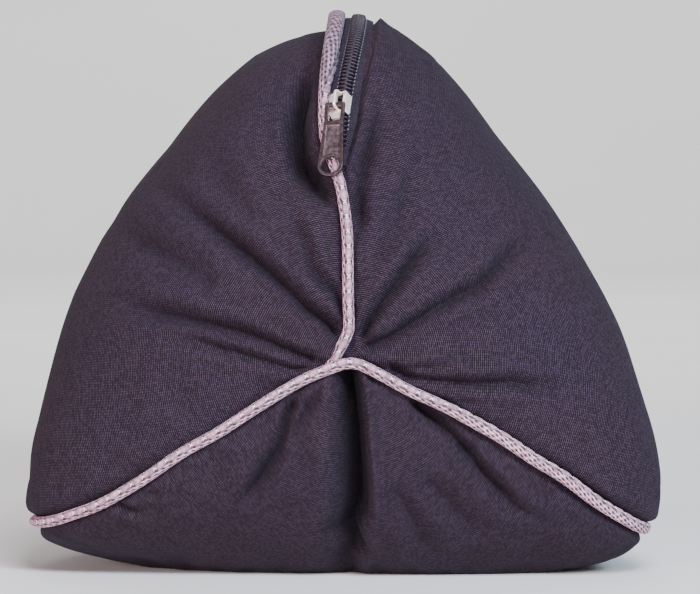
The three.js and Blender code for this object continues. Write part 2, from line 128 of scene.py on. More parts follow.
# Each panel from its first seam to the next: its swell, how full it is beside each of them (less is
# fuller), its lean to the first, how far its middle stands forward and how much rounder its end is.
Panel = namedtuple("Panel", "swell first second lean forward rounder")
PANELS = (
    Panel(23.8, 0.63, 0.52, 0.167, 5, 2),
    Panel(31.3, 0.6, 0.63, 0.1, 5, 2),
    Panel(21, 0.5, 0.5, -0.1, 3, 26),
)

# Folds on the ends, as troughs that run out from near the Y centre: bearings in degrees from +X
# towards +Z at reaches from the long axis, then width, depth, how sharp the crease is (2 is round)
# and how much steeper its side of the growing bearing is than the other.
Fold = namedtuple("Fold", "name reaches bearings width depth sharp lean")
FOLDS = (
    Fold(
        "left long", (7, 20, 30, 50, 63, 88), (113, 129.5, 131.5, 135, 136.8, 139),
        2.7, 5.4, 1.2, 0.1,
    ),
    Fold("left long twin", (12, 26, 44), (142, 138.5, 140), 1.7, 1.2, 1.4, 0),
    Fold("left upright", (13, 21, 26, 32, 38, 60), (96, 100, 109, 112.5, 111.5, 112), 2.2, 3.4, 1.3, 0),
    Fold("left upright twin", (30, 40, 52), (121, 120, 118), 2.4, 1.1, 1.6, 0),
    Fold("left faint", (52, 84), (128, 125), 4.4, 1.0, 1.8, 0),
    Fold("left high", (48, 65, 92), (151, 151, 151.5), 4.2, 2.4, 1.5, 0),
    Fold("left low", (9, 11, 19, 27, 34, 86), (190, 183, 172, 167.3, 165.6, 166.5), 2.5, 4.4, 1.25, 0),
    Fold(
        "left low twin", (11, 15, 21, 27, 35, 49, 68), (201, 195, 186, 180.7, 176.6, 173, 171.5),
        2.0, 3.2, 1.3, 0,
    ),
    Fold("left low branch", (56, 76), (168.7, 168.7), 2, 1.4, 1.5, 0),
    Fold("left flat", (14, 24, 36), (160, 156, 154), 1.8, 0.9, 1.5, 0),
    Fold("right upright", (30, 38, 47, 56, 74), (76, 74, 71, 72, 73), 4, 2.2, 1.6, 0),
    Fold("right steep", (5, 10, 17, 25, 38, 56), (72, 67.4, 63.8, 60, 57.9, 54), 2.3, 4.8, 1.25, 0),
    Fold(
        "right long", (3, 8, 12, 33, 49, 60, 80), (52, 37.6, 30.8, 31.7, 30.2, 33, 34),
        2.9, 4.4, 1.25, 0.15,
    ),
    Fold("right between", (12, 20, 32), (46, 47, 45), 1.6, 1.1, 1.5, 0),
    Fold("right faint", (12, 28, 43, 66), (11, 16, 19, 21), 3.4, 1.5, 1.6, 0),
    Fold("right level", (11, 18, 28, 40, 51, 78), (-18, -19, -14.6, -11.3, -8.2, -8), 2.1, 3.6, 1.25, 0),
    Fold("right level twin", (10, 20, 36), (-15, -7.8, -3), 1.8, 1.6, 1.5, 0),
    Fold(
        "base centre",
        (0, 16, 33, 43, 49, 56.5, 61.5, 66, 80),
        (-80, -83.3, -85, -85.4, -86, -89.3, -87.5, -89.3, -89.5),
        4, 12, 1.15, 0.5,
    ),
    Fold("base centre twin", (5, 12, 22), (-97, -96, -95), 1.3, 1.4, 1.6, 0),
    Fold("base left", (20, 26, 31, 36, 47, 66), (214, 220, 226.4, 230.9, 233.2, 234), 2.4, 4.4, 1.3, 0),
    Fold("base left twin", (12, 16, 27, 38), (221, 225.7, 231.2, 238), 2.0, 2.8, 1.3, 0),
    Fold("base left corner", (82, 86, 91), (217.5, 215, 210), 2.0, 2.2, 1.4, 0),
    Fold("base left spot", (73, 80), (216.5, 213), 1.7, 1.6, 1.4, 0),
    Fold(
        "base right", (22, 32, 40, 55, 71, 88), (-34, -35.8, -36.8, -40.9, -42.3, -40.5),
        2.2, 4.6, 1.25, 0,
    ),
    Fold("base right twin", (22, 30, 40), (-31.5, -32, -35), 1.6, 1.6, 1.4, 0),
    Fold("base right low", (44, 57, 76), (-58, -56.5, -53.5), 3.8, 2, 1.6, 0),
    Fold("base right far", (42, 54, 74), (-72, -69.5, -66), 3.6, 1.7, 1.6, 0),
)

# Creases beside the zip and the cord under it on the near end: at shares of the way out the distance
# from the seam (left of it is negative), then width, depth and sharpness.
Crease = namedtuple("Crease", "name shares distances width depth sharp")
CREASES = (
    Crease(
        "left of zip",
        (0.4, 0.46, 0.54, 0.64, 0.75, 0.86, 0.96),
        (-3, -4.6, -8, -14.3, -17.4, -17.8, -18),
        2.9, 8, 1.2,
    ),
    Crease("left of zip, wide", (0.4, 0.5, 0.6, 0.75, 0.9, 1), (-6, -10, -16, -23, -25, -26), 7, 1.8, 1.8),
    Crease("right of zip", (0.3, 0.38, 0.48, 0.58, 0.7, 0.82), (2.6, 4, 6.6, 9.6, 12.4, 14), 2.6, 4.6, 1.3),
    Crease("right of zip, far", (0.42, 0.52, 0.64, 0.78), (9, 13.5, 17, 20), 3, 1.4, 1.6),
)

# How folds and creases run out
FOLD_NARROW = 0.75  # a fold's width at its inner and outer end, as shares of its own
FOLD_WIDE = 1.15
FOLD_RISES = 4  # mm in which a fold reaches its depth
FOLD_FALLS = 0.6  # share of its length from which it runs out
FOLDS_FADE = 0.3  # share of the way to the waist in which every fold ends
CREASE_FADES = 0.16
FAR_END_DEPTH = 0.85
RIDGE_OFFSET = 2  # the ridge beside a fold, in its widths from the middle
RIDGE_SHARE = 0.2
SEAM_HOLDS = 0.6  # mm from a seam at which folds begin, and at which the cloth is free
SEAM_FREES = 3

# Halvings with which a place around is found, and the step that directions are taken over
HALVINGS = 20
STEP = 0.002


def smooth(low, high, value):
    """A soft step from 0 at low to 1 at high."""
    share = np.clip((value - low) / (high - low), 0, 1)
    return share * share * (3 - 2 * share)


def lerp(low, high, share):
    """A value that is a share of the way from low to high."""
    return low + (high - low) * share


def unit(vectors):
    """Vectors of the same directions with a length of 1."""
    return vectors / np.maximum(np.linalg.norm(vectors, axis=-1, keepdims=True), TINY)


def seam_offset(seam, scale):
    """Where a seam stands in the section of a given scale, relative to the long axis."""
    steps = np.linspace(-SEAM_EASE, SEAM_EASE, EASE_STEPS)
    eased = [np.interp(scale + step, seam.shares, seam.bearings) for step in steps]
    bearing = np.mean(eased, axis=0) * DEGREE
    reach = seam.reach * scale
    return np.stack([reach * np.cos(bearing), reach * np.sin(bearing)], -1)


def split_along(along):
    """Side, scale, rounding and share inside the ends, for places along the pillow."""
    side = np.where(along < 0.5, -1.0, 1.0)
    inward = 1 - np.abs(2 * along - 1)
    on_end = inward < END_SHARE
    angle = np.clip(inward / END_SHARE, 0, 1) * math.pi / 2
    power = 2 / END_ROUNDNESS
    inside = np.clip((inward - END_SHARE) / (1 - END_SHARE), 0, 1)
    swing = 0.5 + 0.5 * np.cos(math.pi * inside**WAIST_EASE)
    end_scale = np.clip(np.sin(angle), 0, 1) ** power
    side_scale = WAIST_SCALE + (1 - WAIST_SCALE) * swing
    scale = np.where(on_end, end_scale, side_scale)
    rounding = np.where(on_end, 1 - np.clip(np.cos(angle), 0, 1) ** power, 1.0)
    return side, scale, rounding, inside


def growth(along):
    """How far the section has grown at places along: 0 at a Y centre and 1 all along the sides."""
    _, scale, rounding, _ = split_along(np.asarray(along, float))
    return np.where(rounding < 1, scale, 1.0)


def along_at_scale(scale):
    """The place along the near end at which the section has grown to a share of its full size."""
    angle = np.arcsin(np.clip(scale, 0, 1) ** (END_ROUNDNESS / 2))
    return angle / (math.pi / 2) * END_SHARE / 2


def form_point(around, along):
    """The smooth filled form, before channels and folds, for arrays of places on it."""
    around, along = np.broadcast_arrays(np.asarray(around, float), np.asarray(along, float))
    wrapped = np.mod(around, PANEL_COUNT)
    panel = np.minimum(PANEL_COUNT - 1, np.floor(wrapped)).astype(int)
    share = wrapped - panel
    side, scale, rounding, inside = split_along(along)
    on_end = rounding < 1
    seam_scale = np.where(on_end, scale, 1.0)
    shrink = np.where(on_end, 1.0, scale)
    offsets = np.stack([seam_offset(seam, seam_scale) for seam in SEAMS])
    start = np.take_along_axis(offsets, panel[None, ..., None], 0)[0]
    end = np.take_along_axis(offsets, ((panel + 1) % PANEL_COUNT)[None, ..., None], 0)[0]
    shape = np.array(PANELS, float)[panel]
    swelling, first, second, lean, forward, rounder = np.moveaxis(shape, -1, 0)
    chord = end - start
    length = np.maximum(np.hypot(chord[..., 0], chord[..., 1]), TINY)
    outward = np.stack([chord[..., 1], -chord[..., 0]], -1) / length[..., None]
    arch = np.clip(np.sin(math.pi * share), 0, 1)
    fullness = arch ** lerp(first, second, share)
    crown = swelling * seam_scale * fullness * (1 + lean * (1 - 2 * share))
    flat = start + chord * share[..., None] + outward * crown[..., None]
    flat = flat * shrink[..., None]
    depths = np.array([seam.depth for seam in SEAMS], float)
    seam_depth = lerp(depths[panel], depths[(panel + 1) % PANEL_COUNT], smooth(0, 1, share))
    depth = seam_depth + rounder * arch
    lift = forward * arch * np.sin(math.pi * np.minimum(1, scale)) * (1 - inside)
    y = side * ((HALF - depth * rounding) * (1 - inside) + np.where(on_end, lift, 0))
    sag = WAIST_SAG * smooth(0, 1, inside)
    return np.stack([AXIS_X + flat[..., 0], y, AXIS_Z + flat[..., 1] - sag], -1)


def form_normal(around, along):
    """The outward normal of the smooth form."""
    around, along = np.broadcast_arrays(np.asarray(around, float), np.asarray(along, float))
    kept = np.clip(along, STEP, 1 - STEP)
    across_step = form_point(around + 2 * STEP, kept) - form_point(around - 2 * STEP, kept)
    along_step = form_point(around, kept + STEP) - form_point(around, kept - STEP)
    normal = unit(np.cross(along_step, across_step))
    pole = np.zeros_like(normal)
    pole[..., 1] = np.where(along < 0.5, -1, 1)
    at_pole = (along < 2 * STEP) | (along > 1 - 2 * STEP)
    return np.where(at_pole[..., None], pole, normal)


def seam_distance(seam, around, along):
    """Distance from a seam; negative on the side of the higher number around."""
    distance = np.linalg.norm(form_point(around, along) - form_point(seam, along), axis=-1)
    half = PANEL_COUNT / 2
    turn = np.mod(around - seam + half, PANEL_COUNT) - half
    return np.where(turn > 0, -distance, distance)


def nearest_seam(around, along):
    """The number of the nearest seam at places on the form, and the distance from it."""
    nearest = np.mod(np.round(around), PANEL_COUNT).astype(int)
    return nearest, seam_distance(nearest, around, along)


def around_at(seam, along, distance):
    """The place around at which the surface is a given distance from a seam."""
    along, distance = np.broadcast_arrays(np.asarray(along, float), np.asarray(distance, float))
    near = np.zeros_like(along)
    far = np.full_like(along, 0.5)
    sign = np.where(distance < 0, 1.0, -1.0)
    for _ in range(HALVINGS):
        middle = (near + far) / 2
        short = np.abs(seam_distance(seam, seam + sign * middle, along)) < np.abs(distance)
        near = np.where(short, middle, near)
        far = np.where(short, far, middle)
    return seam + sign * near


def trough_right(scale):
    """How far right of the seam the zip's opening reaches; it closes towards the Y centre."""
    return lerp(TROUGH_RIGHT_FOOT, TROUGH_RIGHT, smooth(TROUGH_OPENS, TROUGH_OPEN, scale))


def channel_depth(around, along, seam_channel=SEAM_CHANNEL, seam_width=SEAM_CHANNEL_WIDTH):
    """How deep the cloth lies under the smooth form at a seam's channel or the zip's trough."""
    nearest, distance = nearest_seam(around, along)
    channel = seam_channel * np.exp(-((distance / seam_width) ** 2))
    _, scale, _, _ = split_along(along)
    beyond = np.abs(distance) - np.where(distance < 0, TROUGH_LEFT, trough_right(scale))
    wall = np.where(distance < 0, TROUGH_WALL, TROUGH_WALL_RIGHT)
    trough = TROUGH_DEPTH * (1 - smooth(0, wall, beyond))
    shoulder = SHOULDER_DROP * np.exp(-((np.maximum(beyond, 0) / SHOULDER_WIDTH) ** 2))
    shoulder = shoulder * smooth(-TROUGH_WALL, TROUGH_WALL, beyond)
    trough = np.where((distance < 0) & (beyond > 0), np.maximum(trough, shoulder), trough)
    share = smooth(TROUGH_START, TROUGH_FULL, growth(along))
    return np.where(nearest == TOP, lerp(channel, trough, share), channel)


def fold_profile(across, sharp):
    """A fold's section at distances from its middle, in its widths: a trough between low ridges."""
    return np.exp(-(across**sharp)) - RIDGE_SHARE * np.exp(-((across - RIDGE_OFFSET) ** 2))


def fold_depth(around, along):
    """How deep the folds are at places on the ends; they end where the seam holds the cloth."""
    side, scale, rounding, inside = split_along(along)
    nearest, to_seam = nearest_seam(around, along)
    fade = (1 - smooth(0, FOLDS_FADE, inside)) * smooth(SEAM_HOLDS, SEAM_FREES, np.abs(to_seam))
    point = form_point(around, along)
    x = (point[..., 0] - AXIS_X) * -side
    z = point[..., 2] - AXIS_Z
    reach = np.hypot(x, z)
    bearing = np.arctan2(z, x) / DEGREE
    total = np.zeros_like(reach)
    for fold in FOLDS:
        inner, outer = fold.reaches[0], fold.reaches[-1]
        share = np.clip((reach - inner) / (outer - inner), 0, 1)
        turn = np.mod(bearing - np.interp(reach, fold.reaches, fold.bearings) + 180, 360) - 180
        width = fold.width * np.where(turn > 0, 1 - fold.lean, 1 + fold.lean)
        width = width * lerp(FOLD_NARROW, FOLD_WIDE, share)
        across = np.abs(turn * DEGREE * reach / width)
        present = smooth(0, FOLD_RISES, reach - inner) * (1 - smooth(FOLD_FALLS, 1, share))
        total += fold.depth * present * fold_profile(across, fold.sharp)
    on_top_seam = (nearest == TOP) * (rounding < 1)
    for crease in CREASES:
        across = np.abs(to_seam - np.interp(scale, crease.shares, crease.distances)) / crease.width
        first, last = crease.shares[0], crease.shares[-1]
        present = smooth(first, first + CREASE_FADES, scale) * (1 - smooth(last - CREASE_FADES, last, scale))
        total += crease.depth * (present * on_top_seam) * fold_profile(across, crease.sharp)
    return total * fade * np.where(side < 0, 1, FAR_END_DEPTH)


def path_lengths(path):
    """Length along a path at each of its points."""
    steps = np.linalg.norm(np.diff(path, axis=0), axis=1)
    return np.concatenate([[0], np.cumsum(steps)])


def resampled(path, step):
    """The same path with its points evenly spaced, about one step apart."""
    lengths = path_lengths(path)
    count = max(2, int(round(lengths[-1] / step)) + 1)
    places = np.linspace(0, lengths[-1], count)
    return np.stack([np.interp(places, lengths, path[:, axis]) for axis in range(3)], -1)


def rounded(path, reach):
    """An evenly spaced path with its corners rounded over a number of points each way."""
    padded = np.concatenate([np.repeat(path[:1], reach, 0), path, np.repeat(path[-1:], reach, 0)])
    window = np.hanning(2 * reach + 3)[1:-1]
    window = window / window.sum()
    eased = [np.convolve(padded[:, axis], window, mode="valid") for axis in range(3)]
    result = np.stack(eased, -1)
    result[0] = path[0]
    result[-1] = path[-1]
    return result


# Points closer than this, in metres, are welded
WELD = 0.00001


def add_grid(bm, points, uvs, uv_layer):
    """Adds a grid of faces at an array of points in mm; returns each vertex's place in it."""
    columns, rows = points.shape[0] - 1, points.shape[1] - 1
    made = bmesh.ops.create_grid(bm, x_segments=columns, y_segments=rows, size=0.5)["verts"]
    flat = np.array([vertex.co[:2] for vertex in made])
    low, high = flat.min(0), flat.max(0)
    places = np.rint((flat - low) / (high - low) * [columns, rows]).astype(int)
    where = {}
    for vertex, (column, row) in zip(made, places.tolist()):
        vertex.co = points[column, row] * MM
        where[vertex] = (column, row)
    uv_rows = uvs.tolist()
    faces = {face for vertex in made for face in vertex.link_faces}
    for face in faces:
        for loop in face.loops:
            column, row = where[loop.vert]
            loop[uv_layer].uv = uv_rows[column][row]
    return where


def close_ends(bm, sides):
    """Welds a tube along its length and fills its open ends."""
    bmesh.ops.remove_doubles(bm, verts=bm.verts, dist=WELD)
    open_edges = [edge for edge in bm.edges if edge.is_boundary]
    bmesh.ops.holes_fill(bm, edges=open_edges, sides=sides)


def as_mesh(bm, name):
    """The bmesh as a mesh; the bmesh is freed."""
    mesh = bpy.data.meshes.new(name)
    bm.to_mesh(mesh)
    bm.free()
    return mesh


def add_object(name, data):
    """Adds an object to the scene."""
    item = bpy.data.objects.new(name, data)
    bpy.context.scene.collection.objects.link(item)
    return item


def remove_object(item):
    """Removes an object and its mesh."""
    mesh = item.data
    bpy.data.objects.remove(item)
    bpy.data.meshes.remove(mesh)


def finish_piece(bm, name, material, weld=WELD):
    """Welds, turns the faces outwards and makes the piece, smooth-shaded and with its material."""
    bmesh.ops.remove_doubles(bm, verts=bm.verts, dist=weld)
    bmesh.ops.recalc_face_normals(bm, faces=bm.faces)
    mesh = as_mesh(bm, name)
    mesh.polygons.foreach_set("use_smooth", np.ones(len(mesh.polygons), bool))
    mesh.materials.append(material)
    return add_object(name, mesh)


def place_piece(piece, slot, *nodes):
    """The piece rides on the pillow and stands for its solids, which are hidden; the slot is not used."""
    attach(piece, "root")
    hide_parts(*nodes)


# A ramp gives its low value up to its start and its high value from its end on. The Mix node has its
# colours in numbered sockets.
Ramp = namedtuple("Ramp", "start end low high")
MIX_LOW = 6
MIX_HIGH = 7
MIX_RESULT = 2


def feed(tree, socket, source):
    """Links a socket to another, or sets its value."""
    if isinstance(source, bpy.types.NodeSocket):
        tree.links.new(source, socket)
    else:
        socket.default_value = source


def calc(tree, operation, *sources):
    """A Math node's result."""
    node = tree.nodes.new("ShaderNodeMath")
    node.operation = operation
    for socket, source in zip(node.inputs, sources):
        feed(tree, socket, source)
    return node.outputs[0]


def times(tree, product, *factors):
    """Values multiplied."""
    for factor in factors:
        product = calc(tree, "MULTIPLY", product, factor)
    return product


def plus(tree, value, other):
    """The sum of two values."""
    return calc(tree, "ADD", value, other)


def minus(tree, value, other):
    """The difference of two values."""
    return calc(tree, "SUBTRACT", value, other)


def remap(tree, value, ramp):
    """A value's place on a ramp."""
    node = tree.nodes.new("ShaderNodeMapRange")
    for socket, source in zip(node.inputs, (value, *ramp)):
        feed(tree, socket, source)
    return node.outputs[0]


def mix_colors(tree, share, low, high):
    """The low colour at a share of 0 and the high colour at 1."""
    node = tree.nodes.new("ShaderNodeMix")
    node.data_type = "RGBA"
    feed(tree, node.inputs["Factor"], share)
    feed(tree, node.inputs[MIX_LOW], low)
    feed(tree, node.inputs[MIX_HIGH], high)
    return node.outputs[MIX_RESULT]


def scale_color(tree, color, share):
    """A colour times a value."""
    node = tree.nodes.new("ShaderNodeVectorMath")
    node.operation = "SCALE"
    feed(tree, node.inputs[0], color)
    feed(tree, node.inputs["Scale"], share)
    return node.outputs[0]


def noise(tree, place, scale, detail=2.0, roughness=0.5):
    """Soft noise from 0 to 1, in patches a scale-th of a metre wide."""
    node = tree.nodes.new("ShaderNodeTexNoise")
    feed(tree, node.inputs["Vector"], place)
    feed(tree, node.inputs["Scale"], scale)
    feed(tree, node.inputs["Detail"], detail)
    feed(tree, node.inputs["Roughness"], roughness)
    return node.outputs["Fac"]


def bump(tree, height, strength, distance):
    """A normal for relief of a height, with a height of 1 standing out by the distance in metres."""
    node = tree.nodes.new("ShaderNodeBump")
    feed(tree, node.inputs["Strength"], strength)
    feed(tree, node.inputs["Distance"], distance)
    feed(tree, node.inputs["Height"], height)
    return node.outputs[0]


def wire(tree, node, **sources):
    """Links sources to a node's sockets of the same names."""
    for name, source in sources.items():
        tree.links.new(source, node.inputs[name.replace("_", " ")])


def split_place(tree, place):
    """The X and Y parts of a place."""
    node = tree.nodes.new("ShaderNodeSeparateXYZ")
    tree.links.new(place, node.inputs[0])
    return node.outputs[0], node.outputs[1]


def uv_place(tree, layer):
    """Places on the piece's own UV map."""
    node = tree.nodes.new("ShaderNodeUVMap")
    node.uv_map = layer
    return node.outputs[0]


def object_place(tree):
    """Places in the piece's own space, in metres."""
    return tree.nodes.new("ShaderNodeTexCoord").outputs["Object"]


def point_value(tree, name):
    """A value that the piece's mesh holds at its points."""
    node = tree.nodes.new("ShaderNodeAttribute")
    node.attribute_name = name
    return node.outputs["Fac"]


def new_group(name, inputs, outputs):
    """An empty shader node group with named sockets, and its input and output nodes."""
    group = bpy.data.node_groups.new(name, "ShaderNodeTree")
    for socket_name, kind, default in inputs:
        socket = group.interface.new_socket(socket_name, in_out="INPUT", socket_type=kind)
        if default is not None:
            socket.default_value = default
    for socket_name, kind in outputs:
        group.interface.new_socket(socket_name, in_out="OUTPUT", socket_type=kind)
    return group, group.nodes.new("NodeGroupInput"), group.nodes.new("NodeGroupOutput")


def use_group(tree, group_name, **values):
    """A node group placed in a material, with its own values."""
    node = tree.nodes.new("ShaderNodeGroup")
    node.node_tree = bpy.data.node_groups[group_name]
    for name, value in values.items():
        feed(tree, node.inputs[name], value)
    return node


def new_material(name, roughness, metallic=0.0, **sockets):
    """A material with its Principled shader; the named sockets are the same all over."""
    material = bpy.data.materials.new(name)
    material.use_nodes = True
    shader = material.node_tree.nodes["Principled BSDF"]
    shader.inputs["Roughness"].default_value = roughness
    shader.inputs["Metallic"].default_value = metallic
    for socket_name, value in sockets.items():
        shader.inputs[socket_name.replace("_", " ")].default_value = value
    return material, material.node_tree, shader


# The canvas weave
WEAVE_GROUP = "Canvas weave"
WANDER_SCALE = 160  # noise that leads the threads astray
WANDER_THREADS = 1.6
WARP_SHARE = 0.9  # warp threads beside each weft thread
ROW_SHIFT = 0.5
WARP_RELIEF = Ramp(0, 1, 0.55, 1)  # from a warp thread's side to its top
THREAD_TONES = Ramp(0, 1, 0.64, 1.36)
EVEN_HEIGHT = 0.52  # a thread has the cloth's own shade at this height
DARKEST_GAP = 0.08


def half_round(tree, count):
    """A thread's height from side to side, for a count of threads."""
    return calc(tree, "SINE", times(tree, calc(tree, "FRACT", count), math.pi))


def weave_group():
    """A plain canvas weave: height and shade of its threads, from a place in metres."""
    group, given, result = new_group(
        WEAVE_GROUP,
        [
            ("Place", "NodeSocketVector", None),
            ("Threads", "NodeSocketFloat", 1500.0),
            ("Depth", "NodeSocketFloat", 1.0),
        ],
        [("Height", "NodeSocketFloat"), ("Shade", "NodeSocketFloat")],
    )
    place, threads = given.outputs["Place"], given.outputs["Threads"]
    across, along = split_place(group, place)
    wander = times(group, minus(group, noise(group, place, WANDER_SCALE), 0.5), WANDER_THREADS)
    weft = plus(group, times(group, along, threads), wander)
    weft_count = calc(group, "FLOOR", weft)
    warp = plus(group, times(group, across, threads, WARP_SHARE), times(group, weft_count, ROW_SHIFT))
    height = times(group, half_round(group, weft), remap(group, half_round(group, warp), WARP_RELIEF))
    cell = group.nodes.new("ShaderNodeCombineXYZ")
    group.links.new(calc(group, "FLOOR", warp), cell.inputs[0])
    group.links.new(weft_count, cell.inputs[1])
    grain = group.nodes.new("ShaderNodeTexWhiteNoise")
    grain.noise_dimensions = "2D"
    group.links.new(cell.outputs[0], grain.inputs["Vector"])
    contrast = times(group, minus(group, height, EVEN_HEIGHT), given.outputs["Depth"])
    shade = calc(group, "MAXIMUM", plus(group, contrast, 1), DARKEST_GAP)
    shade = times(group, shade, remap(group, grain.outputs["Value"], THREAD_TONES))
    wire(group, result, Height=height, Shade=shade)


# Plating that hands have worn
WEAR_GROUP = "Worn plating"
CLOUD_SCALE = 900
CLOUD_DETAIL = 4
CLOUD_ROUGHNESS = 0.65
CLOUD_DARKENS = 0.62  # the patina darkens clouds that are lower than this
CLOUD_ROUGHENS = Ramp(0.3, 0.7, 0.24, 0.46)
BRUSHED_SCALE = (5200, 380, 5200)
BRUSHED_DETAIL = 3
BRUSHED_TONES = Ramp(0.25, 0.75, 0.86, 1.1)


def wear_group():
    """Patina on small castings: a tone and a roughness that change over the surface."""
    group, given, result = new_group(
        WEAR_GROUP,
        [("Place", "NodeSocketVector", None), ("Patina", "NodeSocketFloat", 0.5)],
        [("Tone", "NodeSocketFloat"), ("Roughness", "NodeSocketFloat"), ("Height", "NodeSocketFloat")],
    )
    clouds = noise(group, given.outputs["Place"], CLOUD_SCALE, CLOUD_DETAIL, CLOUD_ROUGHNESS)
    stretch = group.nodes.new("ShaderNodeMapping")
    stretch.inputs["Scale"].default_value = BRUSHED_SCALE
    group.links.new(given.outputs["Place"], stretch.inputs["Vector"])
    brushed = noise(group, stretch.outputs[0], 1, BRUSHED_DETAIL)
    dark = times(group, minus(group, CLOUD_DARKENS, clouds), given.outputs["Patina"])
    tone = minus(group, 1, calc(group, "MAXIMUM", dark, 0))
    tone = times(group, tone, remap(group, brushed, BRUSHED_TONES))
    rough = remap(group, clouds, CLOUD_ROUGHENS)
    wire(group, result, Tone=tone, Roughness=rough, Height=brushed)


# The cover's cloth. Crease is how deep a fold is in mm, and less than 0 on a ridge beside it; from it the
# cloth's colour is darkened as painted shade deep in a fold and lightened as a painted highlight on the
# ridge.
CLOTH_SHEEN_TINT = (0.72, 0.68, 0.86, 1)
PATCH_SCALE = 26
PATCH_DETAIL = 3
FLECK_SCALE = 2300
FLECK_TONES = Ramp(0.3, 0.7, 0.9, 1.1)
HOLLOW_FROM = 1
HOLLOW_TO = 5.5
RIDGE_FROM = -1.2
THREAD_HEIGHT = 0.00016


def cloth_material(settings):
    """Dark purple-grey canvas, a little uneven in tone, with a faint pale rim, painted shade deep in its
    folds and a painted highlight on the ridges beside them.
    """
    material, tree, shader = new_material(
        "Cover cloth",
        roughness=0.92,
        Sheen_Weight=settings.cloth_sheen,
        Sheen_Roughness=0.42,
        Sheen_Tint=CLOTH_SHEEN_TINT,
        Specular_IOR_Level=0.15,
    )
    place = uv_place(tree, "Cloth")
    # The weave's contrast, set lower on the base panel
    contrast_by_panel = Ramp(0, 1, settings.weave_contrast, settings.base_weave_contrast)
    depth = remap(tree, point_value(tree, "Rubbed"), contrast_by_panel)
    threads = use_group(tree, WEAVE_GROUP, Place=place, Threads=1000 / settings.thread_pitch, Depth=depth)
    patches = noise(tree, object_place(tree), PATCH_SCALE, PATCH_DETAIL)
    color = mix_colors(tree, patches, (*settings.cloth_warm, 1), (*settings.cloth_cool, 1))
    flecks = remap(tree, noise(tree, place, FLECK_SCALE, 1), FLECK_TONES)
    # Painted shade deep in the folds and a painted highlight on the ridges beside them, from the fold depths
    # that the cover holds
    crease = point_value(tree, "Crease")
    painted_fold_shade = remap(tree, crease, Ramp(HOLLOW_FROM, HOLLOW_TO, 1, settings.crease_shade))
    painted_ridge_highlight = remap(tree, crease, Ramp(RIDGE_FROM, 0, settings.ridge_shade, 1))
    shade = times(tree, threads.outputs["Shade"], flecks, painted_fold_shade, painted_ridge_highlight)
    normal = bump(tree, threads.outputs["Height"], settings.weave_relief, THREAD_HEIGHT)
    wire(tree, shader, Base_Color=scale_color(tree, color, shade), Normal=normal)
    return material


# The zip tapes' finer weave: threads in a metre, how dark its gaps are, its relief and its threads'
# height in metres
TAPE_THREADS = 1250
TAPE_GAPS = 2.8
TAPE_RELIEF = 0.7
TAPE_THREAD_HEIGHT = 0.0002


def tape_material(settings):
    """Dark woven tape."""
    material, tree, shader = new_material("Zip tape", roughness=0.85, Specular_IOR_Level=0.3)
    place = uv_place(tree, "Cloth")
    threads = use_group(tree, WEAVE_GROUP, Place=place, Threads=TAPE_THREADS, Depth=TAPE_GAPS)
    color = scale_color(tree, tuple(settings.tape_color), threads.outputs["Shade"])
    normal = bump(tree, threads.outputs["Height"], TAPE_RELIEF, TAPE_THREAD_HEIGHT)
    wire(tree, shader, Base_Color=color, Normal=normal)
    return material


# Braid of the cord. Each repeat of it has a long lobe along one side and slanted strands round the
# rest, with gaps along their edges that are shifted from one strand to the next.
BRAID_REPEAT = 4.72
LOBE_HALF_WIDTH = 1.2
LOBE_BLUNT = 3  # 2 would be a round end
STRAND_WIDTH = 1.3
STRANDS_CROSSED = 1
GAPS_IN_REPEAT = 2
GAP_SHIFT = 0.4
CORD_GIRTH = 12.8

# Marks of the braid: over the lobe's oval (0 in its middle, 1 at its rim), along the cord in repeats,
# and round it in mm from the line of lobes
LOBE_CLEARS = Ramp(0.5, 0.95, 0.25, 1)  # over the oval: few gaps on the lobe itself
RIM_OVAL = 1.1
RIM_FADES = Ramp(0.12, 0.5, 0.75, 0)  # away from the rim's oval
JOINT_ALONG = Ramp(0.14, 0.34, 0.95, 0)  # away from where two lobes meet
JOINT_BESIDE = Ramp(0.2, 0.8, 0.3, 1)
JOINT_ENDS = Ramp(1.3, 1.8, 1, 0)
LOBE_TONES = Ramp(0.2, 1.2, 0.78, 1.03)
DASH_HALF_LENGTH = 0.32
DASH_HALF_WIDTH = 0.33
DASH_FADES = Ramp(0.65, 1.25, 1, 0)
EDGE_FADES = Ramp(0.08, 0.26, 0.6, 0)
CROSS_ARM_FADES = Ramp(0.12, 0.32, 1, 0)
CROSS_FADES = Ramp(0.6, 0.85, 1, 0)

# The cord's uneven tone, how much of the gaps' colour shows, and its relief
CORD_TONE_SCALE = 620
CORD_TONES = Ramp(0.36, 0.64, 0.6, 1.3)
GAP_STRENGTH = 0.97
FIBRE_SCALE = 2600
FIBRE_HEIGHT = 0.3
CORD_BUMP = 0.9
CORD_BUMP_HEIGHT = 0.0003


def lobe_oval(tree, repeat, from_ridge):
    """0 in the middle of the braid's long lobes, 1 at their rims and more beside them."""
    ahead = times(tree, minus(tree, calc(tree, "FRACT", repeat), 0.5), 2)
    ahead = calc(tree, "POWER", calc(tree, "ABSOLUTE", ahead), LOBE_BLUNT)
    aside = calc(tree, "POWER", calc(tree, "DIVIDE", from_ridge, LOBE_HALF_WIDTH), 2)
    return plus(tree, ahead, aside)


